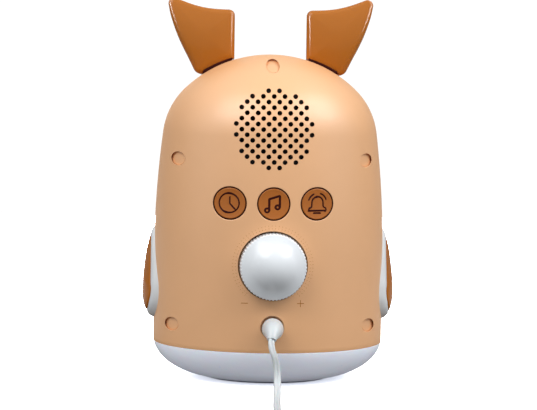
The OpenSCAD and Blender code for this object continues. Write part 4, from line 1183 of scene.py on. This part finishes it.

# %% [markdown]
# ## Floor
#
# The clock stands on a white table. A satin surface mirrors the table too, and photographers use
# that: a dark card lies close to the object, which draws a dark band under each dome and along each
# edge. There is no card here: the Light Path node paints its reflection. It says what kind of ray
# arrives, so the table is white to the camera, pale near the clock where it throws light back, which
# is painted bounce light, and dark close to the clock in reflections, which is a painted reflection.

# %% Floor
TABLE, TABLE_T = 900, 20
TABLE_BOUNCE, TABLE_SEEN, TABLE_SEEN_MORE, TABLE_MIRRORED = 0.28, 3.0, 2.5, 0.5
PAINTED_CARD_FROM, PAINTED_CARD_TO = 0.075, 0.24
LIT_FROM, LIT_TO, UNLIT = 0.08, 0.16, 0.06
floor = slab("floor", (-TABLE, -TABLE, -TABLE_T), (TABLE, TABLE, 0))
floor_finish = Finish("pale_floor", Roughness=1.0, Specular_IOR_Level=0.0)
camera_ray, glossy_ray = floor_finish.ray_is("Camera"), floor_finish.ray_is("Glossy")
other_ray = (1 - camera_ray) * (1 - glossy_ray)
reach = floor_finish.node("ShaderNodeVectorMath", {"operation": "LENGTH"}, {0: floor_finish.place}, 1)
# painted reflection and painted bounce light: dark near the clock to glossy rays, bouncing light only
# close to it
clear_of_painted_card = floor_finish.soft_step(reach, PAINTED_CARD_FROM, PAINTED_CARD_TO)
thrown_back = floor_finish.soft_step(reach, LIT_FROM, LIT_TO, TABLE_BOUNCE, UNLIT)
floor_finish.set("Base Color", camera_ray * (clear_of_painted_card * TABLE_SEEN_MORE + TABLE_SEEN)
                 + other_ray * thrown_back + glossy_ray * clear_of_painted_card * TABLE_MIRRORED)
floor.data.materials.append(floor_finish.material)
floor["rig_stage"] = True
print("a table of", 2 * TABLE, "mm")

# %% [markdown]
# ## Light
#
# Two large soft boxes stand above the camera's side. Their reflections are the highlights on the
# shoulders of the body and the two on the knob. A fill at each side, one high up and one in front
# of the display add light alone: a switch on each lamp keeps it out of reflections, so that it
# leaves no spots on the satin shells. The ears are darker and glossier than the shells and want
# streaks of their own. A narrow strip at each side gives these, and light linking keeps the strips
# off every piece but the ears.
#
# The room is white, and the Light Path node tells the kinds of rays apart here too. The wall in
# front of the display is darker in reflections than the rest of the room, so that the edges of the
# clock don't burn out, and the ceiling is brighter.

# %% Room
scene.view_settings.view_transform = "Standard"
ROOM_LIGHT, ROOM_SEEN = 0.18, 1.05
WALL_MIRRORED, CEILING_MIRRORED, FRONT_WALL_SHARE = 1.0, 1.7, 0.3
FRONT_WALL_FROM, FRONT_WALL_TO = -0.3, 0.7
world = bpy.data.worlds.new("white_room")
scene.world = world
room = Graph(world, "Background", Color=(1, 1, 1, 1))
towards = room.node("ShaderNodeTexCoord", {}, {}, "Generated")
backward, upward = (room.node("ShaderNodeSeparateXYZ", {}, {0: towards}, axis) for axis in (1, 2))
height = room.node("ShaderNodeClamp", {}, {0: upward})
wall_share = room.soft_step(backward + upward, FRONT_WALL_FROM, FRONT_WALL_TO, FRONT_WALL_SHARE)
mirrored_room = (height * (CEILING_MIRRORED - WALL_MIRRORED) + WALL_MIRRORED) * wall_share
room.set("Strength", room.ray_is("Camera") * (ROOM_SEEN - ROOM_LIGHT) + ROOM_LIGHT
         + room.ray_is("Glossy") * (mirrored_room - ROOM_LIGHT))
print("the room is seen at", ROOM_SEEN, "and gives", ROOM_LIGHT, "of light")

# %% Lamps
BODY_AIM, EAR_AIM = (0, 0, 0.11), (0, 0, 0.17)


def soft_box(name, at, power, size, tall=None, reflected=True, lights_up=True, aim=BODY_AIM):
    """A lamp of this size and power in watts; tall is its height where that differs"""
    light = bpy.data.objects.new(name, bpy.data.lights.new(name, "AREA"))
    scene.collection.objects.link(light)
    light.data.shape = "RECTANGLE"
    light.data.energy, light.data.size, light.data.size_y = power, size, tall or size
    light.location = at
    light.rotation_euler = (Vector(aim) - light.location).to_track_quat("-Z", "Y").to_euler()
    light.visible_glossy, light.visible_diffuse = reflected, lights_up
    return light


soft_box("left_box", (0.423, 0.485, 0.807), 4.7, 0.6)
soft_box("right_box", (-0.577, 0.329, 0.785), 5.8, 0.6)
ears = bpy.data.collections.new("ears")
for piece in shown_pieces():
    if piece.name.endswith("ear_skin"):
        ears.objects.link(piece)
for side in (1, -1):
    soft_box("side_fill", (side, 0.35, 0.45), 3.2, 0.8, reflected=False)
    strip = soft_box("strip", (0.72 * side, 0.69, 0.40), 9, 0.12, 0.5, lights_up=False, aim=EAR_AIM)
    strip.light_linking.receiver_collection = ears
soft_box("high_fill", (-0.1, 1.0, 0.75), 1.3, 0.8, reflected=False)
soft_box("front_box", (0.25, -0.95, 0.38), 7, 0.6, reflected=False)
